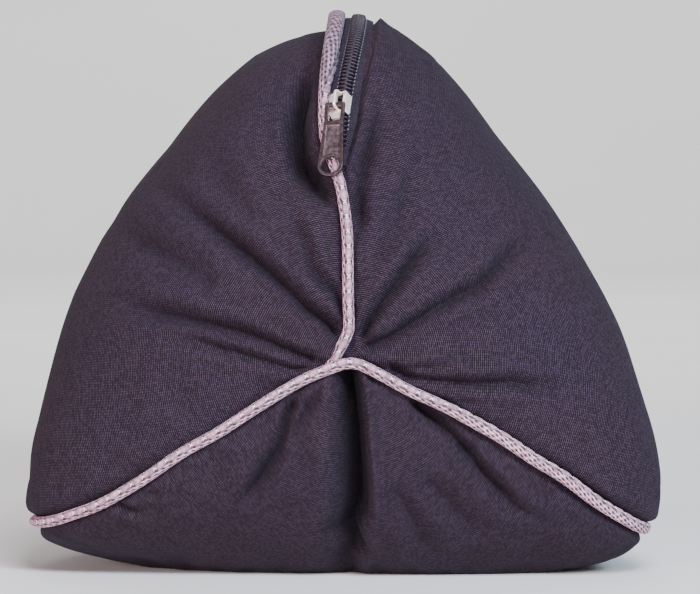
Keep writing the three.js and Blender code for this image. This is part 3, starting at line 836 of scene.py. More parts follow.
def strand_gaps(tree, repeat, from_ridge):
    """1 in the short dark gaps at the edges of slanted strands, less along the rest of an edge."""
    crossed = times(tree, repeat, STRANDS_CROSSED)
    strand = minus(tree, calc(tree, "DIVIDE", from_ridge, STRAND_WIDTH), crossed)
    from_edge = calc(tree, "PINGPONG", strand, 0.5)
    shift = times(tree, calc(tree, "ROUND", strand), GAP_SHIFT)
    cell = calc(tree, "PINGPONG", plus(tree, times(tree, repeat, GAPS_IN_REPEAT), shift), 0.5)
    long_way = calc(tree, "POWER", calc(tree, "DIVIDE", cell, DASH_HALF_LENGTH), 2)
    short_way = calc(tree, "POWER", calc(tree, "DIVIDE", from_edge, DASH_HALF_WIDTH), 2)
    dash = remap(tree, calc(tree, "SQRT", plus(tree, long_way, short_way)), DASH_FADES)
    return calc(tree, "MAXIMUM", dash, remap(tree, from_edge, EDGE_FADES))


def lobe_joints(tree, repeat, from_ridge):
    """Dark spots on both sides of the places where two lobes meet."""
    joint = remap(tree, calc(tree, "PINGPONG", repeat, 0.5), JOINT_ALONG)
    beside = remap(tree, from_ridge, JOINT_BESIDE)
    return times(tree, joint, beside, remap(tree, from_ridge, JOINT_ENDS))


def cross_mask(tree, repeat, from_ridge):
    """1 on the small white crosses where two lobes meet."""
    ahead = times(tree, calc(tree, "PINGPONG", repeat, 0.5), BRAID_REPEAT)
    arms = calc(tree, "ABSOLUTE", minus(tree, ahead, from_ridge))
    near = remap(tree, calc(tree, "MAXIMUM", ahead, from_ridge), CROSS_FADES)
    return times(tree, remap(tree, arms, CROSS_ARM_FADES), near)


def cord_material(settings):
    """Braided cord: long pale lobes with white crosses between them, and rows of short plaits."""
    material, tree, shader = new_material(
        "Piping cord", roughness=0.75, Sheen_Weight=0.04, Sheen_Roughness=0.5, Specular_IOR_Level=0.3
    )
    place = uv_place(tree, "Cord")
    length, turn = split_place(tree, place)
    repeat = times(tree, length, 1000 / BRAID_REPEAT)
    from_ridge = calc(tree, "ABSOLUTE", minus(tree, calc(tree, "FRACT", turn), 0.5))
    from_ridge = times(tree, from_ridge, CORD_GIRTH)
    oval = lobe_oval(tree, repeat, from_ridge)
    gap = times(tree, strand_gaps(tree, repeat, from_ridge), remap(tree, oval, LOBE_CLEARS))
    from_rim = calc(tree, "ABSOLUTE", minus(tree, oval, RIM_OVAL))
    gap = calc(tree, "MAXIMUM", gap, remap(tree, from_rim, RIM_FADES))
    gap = calc(tree, "MAXIMUM", gap, lobe_joints(tree, repeat, from_ridge))
    cross = cross_mask(tree, repeat, from_ridge)
    gap = times(tree, gap, minus(tree, 1, cross))
    tone = remap(tree, noise(tree, object_place(tree), CORD_TONE_SCALE), CORD_TONES)
    tone = times(tree, tone, remap(tree, oval, LOBE_TONES))
    # Painted shade: where the attribute is set, on the upper cord beside the zip, the colour is mixed
    # towards a dark one and the pale crosses are left out
    painted_shade = point_value(tree, "Handled")
    color = mix_colors(tree, painted_shade, (*settings.cord_color, 1), (*settings.cord_painted_shade, 1))
    color = mix_colors(tree, times(tree, gap, GAP_STRENGTH), color, (*settings.cord_gap, 1))
    color = scale_color(tree, color, tone)
    unshaded_cross = times(tree, cross, minus(tree, 1, painted_shade))
    color = mix_colors(tree, unshaded_cross, color, (*settings.cord_fleck, 1))
    fibres = times(tree, noise(tree, place, FIBRE_SCALE, 1), FIBRE_HEIGHT)
    normal = bump(tree, minus(tree, fibres, gap), CORD_BUMP, CORD_BUMP_HEIGHT)
    wire(tree, shader, Base_Color=color, Normal=normal)
    return material


# Slider and pull
METAL_PATINA = 0.5
METAL_ROUGHER = 0.04
METAL_BUMP = 0.15
METAL_BUMP_HEIGHT = 0.00004
SLIDER_METALLIC = 0.5


def metal_material(name, color, metallic):
    """A worn casting; less metallic is paler in the shade."""
    material, tree, shader = new_material(name, roughness=0.35, metallic=metallic)
    worn = use_group(tree, WEAR_GROUP, Place=object_place(tree), Patina=METAL_PATINA)
    tone = scale_color(tree, tuple(color), worn.outputs["Tone"])
    rough = plus(tree, worn.outputs["Roughness"], METAL_ROUGHER)
    normal = bump(tree, worn.outputs["Height"], METAL_BUMP, METAL_BUMP_HEIGHT)
    wire(tree, shader, Base_Color=tone, Roughness=rough, Normal=normal)
    return material


COIL_TONE_SCALE = 900
COIL_TONES = Ramp(0.3, 0.7, 0.75, 1.3)


def coil_material(settings):
    """Dark plastic, a little uneven in tone."""
    material, tree, shader = new_material("Zip coil", roughness=0.4, Specular_IOR_Level=0.3)
    shade = remap(tree, noise(tree, object_place(tree), COIL_TONE_SCALE), COIL_TONES)
    wire(tree, shader, Base_Color=scale_color(tree, tuple(settings.coil_color), shade))
    return material


# Relief of the cord: how high a lobe rises, how deep and how wide the gaps between strands are
LOBE_RISE = 0.5
GAP_RELIEF = 0.2
GAP_SIZE = 0.36
GAP_INSIDE = 0.3
GAP_OUTSIDE = 1.2

# The cord's own form. Its back faces a line inside the pillow that is this share of its length.
CORD_VISIBLE_RADIUS = 2.3
CORD_WIDE = 3.6
CORD_STEP = 0.45
CORD_SIDES = 32
CORE_SHARE = 0.6
CORD_END_BLUNT = 0.02


def braid_relief(length, turn):
    """How deep the braid lies under the tops of its lobes, in mm."""
    repeat = length / BRAID_REPEAT
    ahead = 2 * (repeat - np.floor(repeat)) - 1
    from_ridge = np.abs(np.mod(turn, 1) - 0.5) * CORD_GIRTH
    inside = 1 - np.abs(ahead) ** LOBE_BLUNT - (from_ridge / LOBE_HALF_WIDTH) ** 2
    lobe = np.sqrt(np.clip(inside, 0, 1))
    strand = from_ridge / STRAND_WIDTH - repeat * STRANDS_CROSSED
    from_edge = np.abs(strand - np.rint(strand))
    cell = repeat * GAPS_IN_REPEAT + np.rint(strand) * GAP_SHIFT
    gap = np.hypot(from_edge / GAP_SIZE, (cell - np.rint(cell)) / GAP_SIZE)
    return (1 - lobe) * (LOBE_RISE + GAP_RELIEF * (1 - smooth(GAP_INSIDE, GAP_OUTSIDE, gap)))


def braided_cord(name, path, flattening, twist, material, painted_shade=None):
    """A braided cord along a path in mm, its strands in relief, with rounded ends."""
    lengths = path_lengths(path)
    tangents = unit(np.gradient(path, axis=0))
    axis_x, axis_z = np.full_like(lengths, AXIS_X), np.full_like(lengths, AXIS_Z)
    core = np.stack([axis_x, CORE_SHARE * path[:, 1], axis_z], -1)
    out = unit(path - core)
    out = unit(out - tangents * np.sum(out * tangents, -1, keepdims=True))
    aside = np.cross(tangents, out)
    turns = np.linspace(0, 1, CORD_SIDES + 1)
    from_end = np.minimum(lengths, lengths[-1] - lengths)
    rounding = 1 - (1 - from_end / CORD_RADIUS).clip(0, 1) ** 2
    taper = np.sqrt(np.clip(rounding, CORD_END_BLUNT, 1))
    pattern_turn = turns[None, :] + twist[:, None]
    relief = braid_relief(lengths[:, None], pattern_turn)
    relief[:, -1] = relief[:, 0]
    angle = 2 * math.pi * turns[None, :] + math.pi
    high = (CORD_VISIBLE_RADIUS - relief) * taper[:, None]
    wide = high * lerp(1, CORD_WIDE / CORD_VISIBLE_RADIUS, flattening)[:, None]
    points = path[:, None] + out[:, None] * (np.cos(angle) * high)[..., None]
    points = points + aside[:, None] * (np.sin(angle) * wide)[..., None]
    uvs = np.stack(np.broadcast_arrays(lengths[:, None] * MM, pattern_turn), -1)
    bm = bmesh.new()
    layer = bm.loops.layers.uv.new("Cord")
    # Painted shade on the cord, where it is given
    painted_shade_layer = bm.verts.layers.float.new("Handled")
    made = add_grid(bm, points, uvs, layer)
    if painted_shade is not None:
        for vertex, (row, column) in made.items():
            vertex[painted_shade_layer] = painted_shade[row, column]
    close_ends(bm, CORD_SIDES)
    return finish_piece(bm, name, material)


# Routes of both cords: how far a cord rides up over a Y centre and within which share of the reach,
# its points along a seam, how far its corners are rounded, in points, and its wander with two waves
CENTRE_LIFT = 0.7
CENTRE_REACH = 0.2
CORD_STATIONS = 500
TOP_CORD_ROUNDING = 6
BASE_CORD_ROUNDING = 10
CORD_WANDER = 0.15
WANDER_WAVES = (23, 37)

# The lower cord's two ends meet behind the near Y centre, at places along the pillow
BUTT_JOINT = 0.022
BUTT_GAP = 0.004
BUTT_TIP = 0.002
BUTT_POINTS = 12
CENTRE_POINTS = 14


def cord_place(around, along):
    """The middle of a cord at places on the cover; it rides a little higher over a Y centre."""
    _, scale, _, _ = split_along(np.asarray(along, float))
    over_centre = CENTRE_LIFT * (1 - smooth(0, CENTRE_REACH, scale))
    lift = CORD_RADIUS + CORD_CLEARANCE + over_centre - channel_depth(around, along)
    return form_point(around, along) + form_normal(around, along) * lift[..., None]


def cord_over_seam(seam, places):
    """The middle of a cord that lies on a seam, at places along."""
    return cord_place(np.full_like(places, seam), places)


def wandering(path):
    """A cord's path with the slight waves that sewing leaves in it."""
    lengths = path_lengths(path)
    wave = sum(np.sin(2 * math.pi * lengths / long) for long in WANDER_WAVES)
    path[:, 2] += CORD_WANDER * wave
    return path


def base_cord_path():
    """Over the far Y centre, along the left seam, over the near Y centre and back on the right."""
    first = BUTT_JOINT + BUTT_GAP
    inner = np.linspace(first, 1 - first, CORD_STATIONS)
    centre = np.linspace(0, first, CENTRE_POINTS)
    path = np.concatenate([
        cord_over_seam(RIGHT, 1 - np.linspace(BUTT_JOINT, BUTT_TIP, BUTT_POINTS)),
        cord_over_seam(LEFT, 1 - centre[1:]),
        cord_over_seam(LEFT, 1 - inner)[1:],
        cord_over_seam(LEFT, centre[:0:-1])[1:],
        cord_over_seam(RIGHT, centre[1:]),
        cord_over_seam(RIGHT, inner)[1:],
    ])
    return wandering(rounded(resampled(path, CORD_STEP), BASE_CORD_ROUNDING))


# Turns of the braid on the left and right of the lower cord, and the reaches between which it changes
TWIST_LEFT = 0.07
TWIST_RIGHT = 0.21
TWIST_STARTS = 24
TWIST_ENDS = 40


def base_cord_twist(path):
    """How far the braid is turned along the lower cord: its lobes lie on top on the right."""
    on_right = smooth(TWIST_STARTS, TWIST_ENDS, path[:, 0] - AXIS_X)
    return lerp(TWIST_LEFT, TWIST_RIGHT, on_right)


# The upper cord's foot leans to the left and tucks under the lower cord: where it ends, where the
# lean begins, how far it moves left, and how far its tip goes down and in
FOOT_CLEARANCE = 0.7
FOOT_HEIGHT = 7
FOOT_LEFT = 7.6
FOOT_DOWN = 7.6
FOOT_SINK = 3

# The upper cord's distance left of the seam at shares of the way out, and where it is pressed flat
CORD_SHARES = (0.5, 0.56, 0.64, 0.7, 0.76, 0.82, 0.92, 1)
CORD_DISTANCES = (0, 1.6, 4.6, 5.7, 6.5, 7.0, 7.3, 7.4)
CORD_FLATTENS = 0.72
CORD_FLAT = 0.95

# How far the upper cord's braid is turned where it is round, and how much more where it is flat
TOP_CORD_TURNED = -0.03
TOP_CORD_TWIST = -0.42

# Painted shade on the upper cord beside the zip: by how flat it is there, and less on its front
PAINTED_SHADE_STARTS = -0.1
PAINTED_SHADE_ENDS = 0.3
PAINTED_SHADE_FRONT = 0.62


def top_cord_path():
    """From the near Y centre up the top seam, beside the zip, and down to the far Y centre.

    Returns the path and how far the cord is flattened along it.
    """
    start = along_at_scale((CORD_RADIUS + FOOT_CLEARANCE) / SEAMS[TOP].reach)
    places = np.linspace(start, 1 - start, 2 * CORD_STATIONS)
    grown = growth(places)
    beside = np.interp(grown, CORD_SHARES, CORD_DISTANCES)
    flat = smooth(CORD_FLATTENS, CORD_FLAT, grown)
    path = cord_place(around_at(TOP, places, -beside), places)
    lengths = path_lengths(path)
    path = resampled(path, CORD_STEP)
    evenly = path_lengths(path)
    flattening = np.interp(evenly, lengths, flat)
    for distance, side in ((evenly, -1), (evenly[-1] - evenly, 1)):
        lean = 1 - smooth(0, FOOT_HEIGHT, distance)
        path[:, 0] += side * FOOT_LEFT * lean
        path[:, 2] -= FOOT_DOWN * lean
        path[:, 1] -= side * FOOT_SINK * lean * lean
    path = rounded(path, TOP_CORD_ROUNDING)
    stretched = path_lengths(path)
    path = resampled(path, CORD_STEP)
    return path, np.interp(path_lengths(path), stretched, flattening)


def painted_cord_shade(flattening):
    """How far painted shade darkens the upper cord beside the zip, along it and round it."""
    turns = np.linspace(0, 2 * math.pi, CORD_SIDES + 1)
    facing = np.clip(-np.cos(turns), 0, 1)[None, :]
    beside_zip = smooth(PAINTED_SHADE_STARTS, PAINTED_SHADE_ENDS, flattening)[:, None]
    return beside_zip * lerp(1, PAINTED_SHADE_FRONT, facing)


# Grid of the cover: columns in a panel, the distances of the first and last from their seam in mm,
# and rows on the near end, on half a side and on the far end
PANEL_COLUMNS = 139
NEAR_SEAM = (
    0.8, 1.6, 2.4, 3.3, 4.2, 5, 5.7, 6.1, 6.5, 6.9, 7.5,
    8.4, 9.3, 10.2, 11, 11.8, 12.6, 13.4, 14.2, 15, 16, 17.5,
)
NEAR_ROWS = 112
SIDE_ROWS = 36
FAR_ROWS = 50


def cover_columns(panel, along):
    """Places around for a panel's columns in every row, at fixed distances beside the seams."""
    rows = len(along)
    near = np.array(NEAR_SEAM, float)
    even = np.arange(1, len(near) + 1) / PANEL_COLUMNS
    shares = np.zeros((rows, PANEL_COLUMNS + 1))
    head = around_at(panel, along[:, None], -near[None, :]) - panel
    tail = panel + 1 - around_at(panel + 1, along[:, None], near[None, :])
    head = np.minimum(head, even)
    tail = np.minimum(tail, even)
    open_count = PANEL_COLUMNS - 2 * len(near)
    blend = np.linspace(0, 1, open_count + 1)[None, :]
    low, high = head[:, -1:], 1 - tail[:, -1:]
    shares[:, 1 : len(near) + 1] = head
    shares[:, len(near) : PANEL_COLUMNS + 1 - len(near)] = lerp(low, high, blend)
    shares[:, PANEL_COLUMNS - len(near) : PANEL_COLUMNS] = 1 - tail[:, ::-1]
    shares[:, -1] = 1
    return panel + shares


def rows_along(near_rows, side_rows, far_rows):
    """Places along for rows, from the near Y centre to the far one."""
    rim = END_SHARE / 2
    near_end = rim * np.arange(near_rows) / near_rows
    near_side = rim + (0.5 - rim) * np.arange(side_rows) / side_rows
    far_side = 0.5 + (0.5 - rim) * np.arange(side_rows) / side_rows
    far_end = 1 - rim + rim * np.arange(far_rows + 1) / far_rows
    return np.concatenate([near_end, near_side, far_side, far_end])


def half_pattern(points):
    """Cloth coordinates of half a panel in mm, from a Y centre, round which the weft runs."""
    middle = (points.shape[1] - 1) // 2
    across = np.cumsum(np.linalg.norm(np.diff(points, axis=1), axis=-1), 1)
    across = np.pad(across, ((0, 0), (1, 0)))
    along = np.cumsum(np.linalg.norm(np.diff(points, axis=0), axis=-1), 0)
    along = np.pad(along, ((1, 0), (0, 0)))
    return across - across[:, middle : middle + 1], along


def flat_pattern(points, waist):
    """Cloth coordinates of a panel's grid, in mm: across its middle line and along it."""
    near_across, near_along = half_pattern(points[: waist + 1])
    far_across, far_along = half_pattern(points[: waist - 1 : -1])
    across = np.concatenate([near_across, far_across[-2::-1]])
    along = np.concatenate([near_along, near_along[-1:] + far_along[-1:] - far_along[-2::-1]])
    return np.stack([across, along], -1)


# Small gathers beside the seams: their spacing in mm, and the ranges that each one's size is drawn from
Pucker = namedtuple("Pucker", "seam side place width reach depth slant")
PUCKER_SEED = 12
PUCKER_SPACING = 9
PUCKER_SPACING_SHARES = (0.6, 1.7)
PUCKER_FIRST = (4, 12)
PUCKER_WIDTHS = (2.2, 4.2)
PUCKER_REACHES = (9, 22)
PUCKER_DEPTHS = (0.25, 0.9)
PUCKER_SLANTS = (-0.35, 0.35)
PUCKER_STARTS = 1.2  # mm from the seam at which a gather begins, and at which it is at its full depth
PUCKER_FULL = 5
PUCKER_FALLS = 0.3  # share of its reach from which it runs out

# The filling's unevenness, as waves of lengths drawn from a range in mm
UNEVEN_SEED = 5
UNEVEN_WAVES = 14
UNEVEN_LENGTHS = (38, 95)
CALM_CENTRE = (0.05, 0.4)  # shares of the way out from a Y centre between which it sets in


def seam_puckers(seam_lengths):
    """Small gathers beside the seams, at uneven places along them."""
    draw = np.random.default_rng(PUCKER_SEED)
    found = []
    for seam, length in enumerate(seam_lengths):
        for side in (-1, 1):
            place = draw.uniform(*PUCKER_FIRST)
            while place < length:
                width = draw.uniform(*PUCKER_WIDTHS)
                reach = draw.uniform(*PUCKER_REACHES)
                depth = draw.uniform(*PUCKER_DEPTHS)
                slant = draw.uniform(*PUCKER_SLANTS)
                found.append(Pucker(seam, side, place, width, reach, depth, slant))
                place += PUCKER_SPACING * draw.uniform(*PUCKER_SPACING_SHARES)
    return found


def pucker_depth(around, along, strength):
    """How deep the gathers beside the seams are on the cover's grid."""
    rows = along[:, 0]
    seam_points = [form_point(np.full_like(rows, seam), rows) for seam in range(PANEL_COUNT)]
    lengths = [path_lengths(points) for points in seam_points]
    nearest, distance = nearest_seam(around, along)
    away = np.abs(distance)
    place = np.stack(lengths)[nearest, np.arange(len(rows))[:, None]]
    total = np.zeros_like(distance)
    for pucker in seam_puckers([length[-1] for length in lengths]):
        across = (place - pucker.place - pucker.slant * away) / pucker.width
        here = (nearest == pucker.seam) & (np.sign(distance) == pucker.side)
        fades = 1 - smooth(PUCKER_FALLS * pucker.reach, pucker.reach, away)
        present = smooth(PUCKER_STARTS, PUCKER_FULL, away) * fades
        total += np.where(here, pucker.depth * present * np.exp(-(across**2)), 0)
    return strength * total


def unevenness(points, strength):
    """A gentle unevenness of the filling, as a sum of long waves in space."""
    draw = np.random.default_rng(UNEVEN_SEED)
    total = np.zeros(points.shape[:-1])
    for _ in range(UNEVEN_WAVES):
        direction = unit(draw.normal(size=3))
        length = draw.uniform(*UNEVEN_LENGTHS)
        phase = draw.uniform(0, 2 * math.pi)
        total += np.sin(points @ direction * (2 * math.pi / length) + phase)
    return strength * total / math.sqrt(UNEVEN_WAVES)


# Swell of the cloth beyond the smooth form round the near end: bearing in degrees and height in mm
SWELL = (
    (-90, 0), (-60, 0.4), (-45, 0.7), (-38, 1.2), (-34, 1.6), (-29, 3.6), (-24, 3), (-10, 2),
    (10, 1.4), (25, 1.8), (40, 1.4), (56, 0.9), (66, 1.6), (75, 1.5), (81, 0.5), (86, 1.8),
    (92, 0.3), (96, -1), (100, -1.8), (104, -0.8), (108, 0.3), (118, -0.1), (132, -1.1), (145, 0.2),
    (156, 1.2), (168, 1.6), (180, 0.7), (192, -0.1), (201, 0.4), (208, 2.2), (213, 1.8), (228, 0.8),
    (250, 0), (270, 0),
)
SWELL_FREES = 5  # mm from a seam at which the cloth swells in full
SWELL_GROWS = (0.55, 0.95)  # shares of the way out from the Y centre between which it sets in


def swell(around, along, points):
    """How far the filling pushes the cloth out beyond the smooth form, on the near half."""
    side, _, _, inside = split_along(along)
    bearing = np.arctan2(points[..., 2] - AXIS_Z, points[..., 0] - AXIS_X) / DEGREE
    height = np.interp(np.mod(bearing + 90, 360) - 90, *zip(*SWELL))
    _, distance = nearest_seam(around, along)
    free = smooth(0, SWELL_FREES, np.abs(distance))
    on_end = smooth(*SWELL_GROWS, growth(along))
    return np.where(side < 0, height * free * on_end * (1 - smooth(0, 1, inside)), 0)


# The blown-up cloth is simulated once on a coarser grid: its columns and rows as above, the share of
# the folds that it starts from, its frames, and Blender's own values. A shrinking below 0 is spare cloth.
SETTLE_COLUMNS = 48
SETTLE_ROWS = (44, 20, 26)
SETTLE_FOLDS = 0.9
SETTLE_FRAMES = 20
SETTLE_VALUES = {
    "quality": 6,
    "mass": 0.3,
    "tension_stiffness": 15,
    "compression_stiffness": 15,
    "shear_stiffness": 5,
    "bending_stiffness": 1.5,
    "use_pressure": True,
    "uniform_pressure_force": 4,
    "shrink_min": -0.012,
}

# Its heights are kept under a cap in mm, once their long swell is taken off by averaging this often
SETTLE_CAP = 1.5
SETTLE_AVERAGES = 24

# What holds it: mm from a seam and from the zip, and shares of the way out, between which the hold
# ends; all that starts lower than the floor's height in mm; and the steps of the hold
HELD_BY_SEAM = (0.5, 5)
HELD_BY_ZIP = (9, 16)
HELD_BY_CENTRE = (0.03, 0.12)
HELD_BY_FLOOR = 1
HELD_STEPS = 10


def held_cloth(around, along, heights):
    """How firmly seams, Y centres, the zip and the floor hold the cloth, from 0 to 1."""
    nearest, distance = nearest_seam(around, along)
    to_seam = np.abs(distance)
    grown = growth(along)
    held = np.maximum(1 - smooth(*HELD_BY_SEAM, to_seam), 1 - smooth(*HELD_BY_CENTRE, grown))
    by_zip = (nearest == TOP) & (grown > TROUGH_START)
    held = np.where(by_zip, np.maximum(held, 1 - smooth(*HELD_BY_ZIP, to_seam)), held)
    return np.where(heights < HELD_BY_FLOOR, 1.0, held)


def add_cloth(piece, held, rows, columns):
    """Gives a piece the cloth simulation that its filling blows up."""
    group = piece.vertex_groups.new(name="held")
    steps = np.rint(held[rows, columns] * HELD_STEPS).astype(int)
    for step in range(1, HELD_STEPS + 1):
        group.add(np.flatnonzero(steps == step).tolist(), step / HELD_STEPS, "REPLACE")
    cloth = piece.modifiers.new("Cloth", "CLOTH")
    cloth.collision_settings.use_collision = False
    cloth.point_cache.frame_start = 1
    cloth.point_cache.frame_end = SETTLE_FRAMES
    cloth.settings.effector_weights.gravity = 0
    cloth.settings.vertex_group_mass = group.name
    for name, value in SETTLE_VALUES.items():
        setattr(cloth.settings, name, value)


def mesh_places(mesh):
    """A mesh's points in mm."""
    flat = np.empty(3 * len(mesh.vertices), np.float32)
    mesh.vertices.foreach_get("co", flat)
    return flat.reshape(-1, 3).astype(float) / MM


def point_numbers(mesh, name):
    """The whole numbers that a mesh holds at its points."""
    numbers = np.empty(len(mesh.vertices), np.int32)
    mesh.attributes[name].data.foreach_get("value", numbers)
    return numbers

def settled_cloth(settings):
    """How far the simulated cloth moves outwards from its start, on the coarse grid, in mm."""
    column_count = PANEL_COUNT * SETTLE_COLUMNS
    places = np.arange(column_count + 1) / SETTLE_COLUMNS
    around, along = np.meshgrid(places, rows_along(*SETTLE_ROWS))
    depth = channel_depth(around, along, VISIBLE_CHANNEL, VISIBLE_CHANNEL_WIDTH)
    depth += SETTLE_FOLDS * settings.fold_strength * fold_depth(around, along)
    normals = form_normal(around, along)
    start = form_point(around, along) - normals * depth[..., None]
    start[..., 2] = np.maximum(start[..., 2], 0)
    bm = bmesh.new()
    layer = bm.loops.layers.uv.new("Cloth")
    row_layer = bm.verts.layers.int.new("Row")
    column_layer = bm.verts.layers.int.new("Column")
    made = add_grid(bm, start, np.zeros((*along.shape, 2)), layer)
    for vertex, (row, column) in made.items():
        vertex[row_layer] = row
        vertex[column_layer] = column % column_count
    piece = finish_piece(bm, "settling cloth", None)
    mesh = piece.data
    rows, columns = point_numbers(mesh, "Row"), point_numbers(mesh, "Column")
    add_cloth(piece, held_cloth(around, along, start[..., 2]), rows, columns)
    scene = bpy.context.scene
    for step in range(1, SETTLE_FRAMES + 1):
        scene.frame_set(step)
    graph = bpy.context.evaluated_depsgraph_get()
    moved = mesh_places(piece.evaluated_get(graph).data) - mesh_places(mesh)
    heights = np.zeros((along.shape[0], column_count))
    heights[rows, columns] = np.sum(moved * normals[rows, columns], -1)
    remove_object(piece)
    scene.frame_set(1)
    return capped(heights)


def capped(heights):
    """Simulated heights without their long swell, which the form has already, and kept small."""
    swelling = heights
    for _ in range(SETTLE_AVERAGES):
        beside = np.roll(swelling, 1, 1) + np.roll(swelling, -1, 1)
        ends = np.pad(swelling, ((1, 1), (0, 0)), mode="edge")
        swelling = (4 * swelling + beside + ends[:-2] + ends[2:]) / 8
    return SETTLE_CAP * np.tanh((heights - swelling) / SETTLE_CAP)


def curve_weights(share):
    """Weights of four even points for a smooth curve between the middle two."""
    square = share**2
    cube = share**3
    return (
        (2 * square - share - cube) / 2,
        (2 - 5 * square + 3 * cube) / 2,
        (share + 4 * square - 3 * cube) / 2,
        (cube - square) / 2,
    )


def between_points(table, row, column):
    """A table's values at places between its points; its columns run round."""
    first_row = np.floor(row).astype(int)
    first_column = np.floor(column).astype(int)
    total = np.zeros(row.shape)
    for down, row_weight in enumerate(curve_weights(row - first_row)):
        rows = np.clip(first_row + down - 1, 0, table.shape[0] - 1)
        for over, column_weight in enumerate(curve_weights(column - first_column)):
            columns = np.mod(first_column + over - 1, table.shape[1])
            total += row_weight * column_weight * table[rows, columns]
    return total


def settled_heights(around, along, settings):
    """The simulated cloth's heights at places on the cover."""
    coarse = rows_along(*SETTLE_ROWS)
    row = np.interp(along, coarse, np.arange(len(coarse)))
    return between_points(settled_cloth(settings), row, around * SETTLE_COLUMNS)


def cover_form(settings):
    """The smooth form's grid, the cover's grid and the depth of its folds."""
    rows = rows_along(NEAR_ROWS, SIDE_ROWS, FAR_ROWS)
    columns = [cover_columns(panel, rows) for panel in range(PANEL_COUNT)]
    around = np.concatenate([part[:, :-1] for part in columns], 1)
    along = np.repeat(rows[:, None], around.shape[1], 1)
    smooth_form = form_point(around, along)
    folds = settings.fold_strength * fold_depth(around, along)
    folds += pucker_depth(around, along, settings.pucker_strength)
    folds -= settings.settle_strength * settled_heights(around, along, settings)
    depth = channel_depth(around, along, VISIBLE_CHANNEL, VISIBLE_CHANNEL_WIDTH)
    uneven = unevenness(smooth_form, settings.uneven_filling) * smooth(*CALM_CENTRE, growth(along))
    depth += folds + uneven
    depth -= swell(around, along, smooth_form)
    points = smooth_form - form_normal(around, along) * depth[..., None]
    points[..., 2] = np.maximum(points[..., 2], 0)
    return smooth_form, points, folds


class PillowSettings(bpy.types.PropertyGroup):
    """Sizes and colours of the pillow that a user would change."""

    fold_strength: FloatProperty(
        name="Fold strength", description="Depth of the folds on the ends", default=1.0, min=0, max=2
    )
    pucker_strength: FloatProperty(
        name="Seam gathers", description="Depth of the gathers beside the seams",
        default=1.0, min=0, max=3,
    )
    uneven_filling: FloatProperty(
        name="Uneven filling", description="Height of the filling's unevenness in mm", default=0.5, min=0
    )
    fill: FloatProperty(
        name="Fill", description="How tightly the pillow is filled",
        subtype="FACTOR", default=0.8, min=0, max=1,
    )
    settle_strength: FloatProperty(
        name="Settled cloth", description="Share of the simulated wrinkles",
        subtype="FACTOR", default=0.75, min=0, max=1,
    )
    thread_pitch: FloatProperty(
        name="Thread pitch", description="Distance between the cover's threads in mm",
        default=0.63, min=0.05,
    )
    weave_contrast: FloatProperty(
        name="Weave contrast", description="How much the threads differ in shade from their gaps",
        default=3.3, min=0,
    )
    # Weave contrast on the base panel, which is set lower than on the other panels
    base_weave_contrast: FloatProperty(
        name="Rubbed contrast", description="The same on the base, which is rubbed smooth",
        default=1.5, min=0,
    )
    weave_relief: FloatProperty(
        name="Weave relief", description="Strength of the weave's relief",
        subtype="FACTOR", default=0.75, min=0, max=1,
    )
    # Painted shade: how far the cloth's colour is darkened deep in a fold
    crease_shade: FloatProperty(
        name="Crease shade", description="Brightness of the cloth deep in a fold",
        subtype="FACTOR", default=0.36, min=0, max=1,
    )
    # Painted highlight: how far the cloth's colour is lightened on the ridge beside a fold
    ridge_shade: FloatProperty(
        name="Ridge shade", description="Brightness of the cloth on the ridge beside a fold",
        default=1.1, min=1,
    )
    cloth_sheen: FloatProperty(
        name="Cloth sheen", description="Pale sheen of the cloth's nap",
        subtype="FACTOR", default=0.015, min=0, max=1,
    )
    cloth_warm: FloatVectorProperty(
        name="Warm cloth", description="Warmer of the cover's two tones",
        subtype="COLOR", default=(0.0208, 0.0117, 0.0176),
    )
    cloth_cool: FloatVectorProperty(
        name="Cool cloth", description="Cooler of the cover's two tones",
        subtype="COLOR", default=(0.0166, 0.0121, 0.0226),
    )
    cord_color: FloatVectorProperty(
        name="Cord", description="Colour of the piping's strands",
        subtype="COLOR", default=(0.66, 0.4, 0.505),
    )
    cord_gap: FloatVectorProperty(
        name="Cord gaps", description="Colour between the piping's strands",
        subtype="COLOR", default=(0.035, 0.018, 0.03),
    )
    # Colour of the painted shade on the upper cord beside the zip
    cord_painted_shade: FloatVectorProperty(
        name="Handled cord", description="Colour of the piping where hands use the zip",
        subtype="COLOR", default=(0.12, 0.1, 0.15),
    )
    cord_fleck: FloatVectorProperty(
        name="Cord crosses", description="Colour of the piping's small pale crosses",
        subtype="COLOR", default=(0.98, 0.8, 0.88),
    )


class ZipSettings(bpy.types.PropertyGroup):
    """Sizes and colours of the zip that a user would change."""

    tooth_pitch: FloatProperty(
        name="Tooth pitch", description="Distance between the coil's loops on one side in mm",
        default=1.6, min=0.5,
    )
    tape_color: FloatVectorProperty(
        name="Tape", description="Colour of the zip's tapes",
        subtype="COLOR", default=(0.0145, 0.0085, 0.018),
    )
    coil_color: FloatVectorProperty(
        name="Coil", description="Colour of the zip's coil", subtype="COLOR", default=(0.018, 0.012, 0.021)
    )
    thread_color: FloatVectorProperty(
        name="Coil thread", description="Colour of the stitches beside the coil",
        subtype="COLOR", default=(0.13, 0.12, 0.155),
    )
    slider_color: FloatVectorProperty(
        name="Slider", description="Colour of the slider's plating",
        subtype="COLOR", default=(1.0, 0.86, 0.81),
    )
    pull_color: FloatVectorProperty(
        name="Pull", description="Colour of the pull's plating",
        subtype="COLOR", default=(0.3, 0.215, 0.235),
    )
    # Painted shade on the pull's rims, for the dark surroundings that they reflect
    painted_rim_shade: FloatProperty(
        name="Rim shade", description="Brightness of the pull's rims beside its field",
        subtype="FACTOR", default=0.6, min=0, max=1,
    )


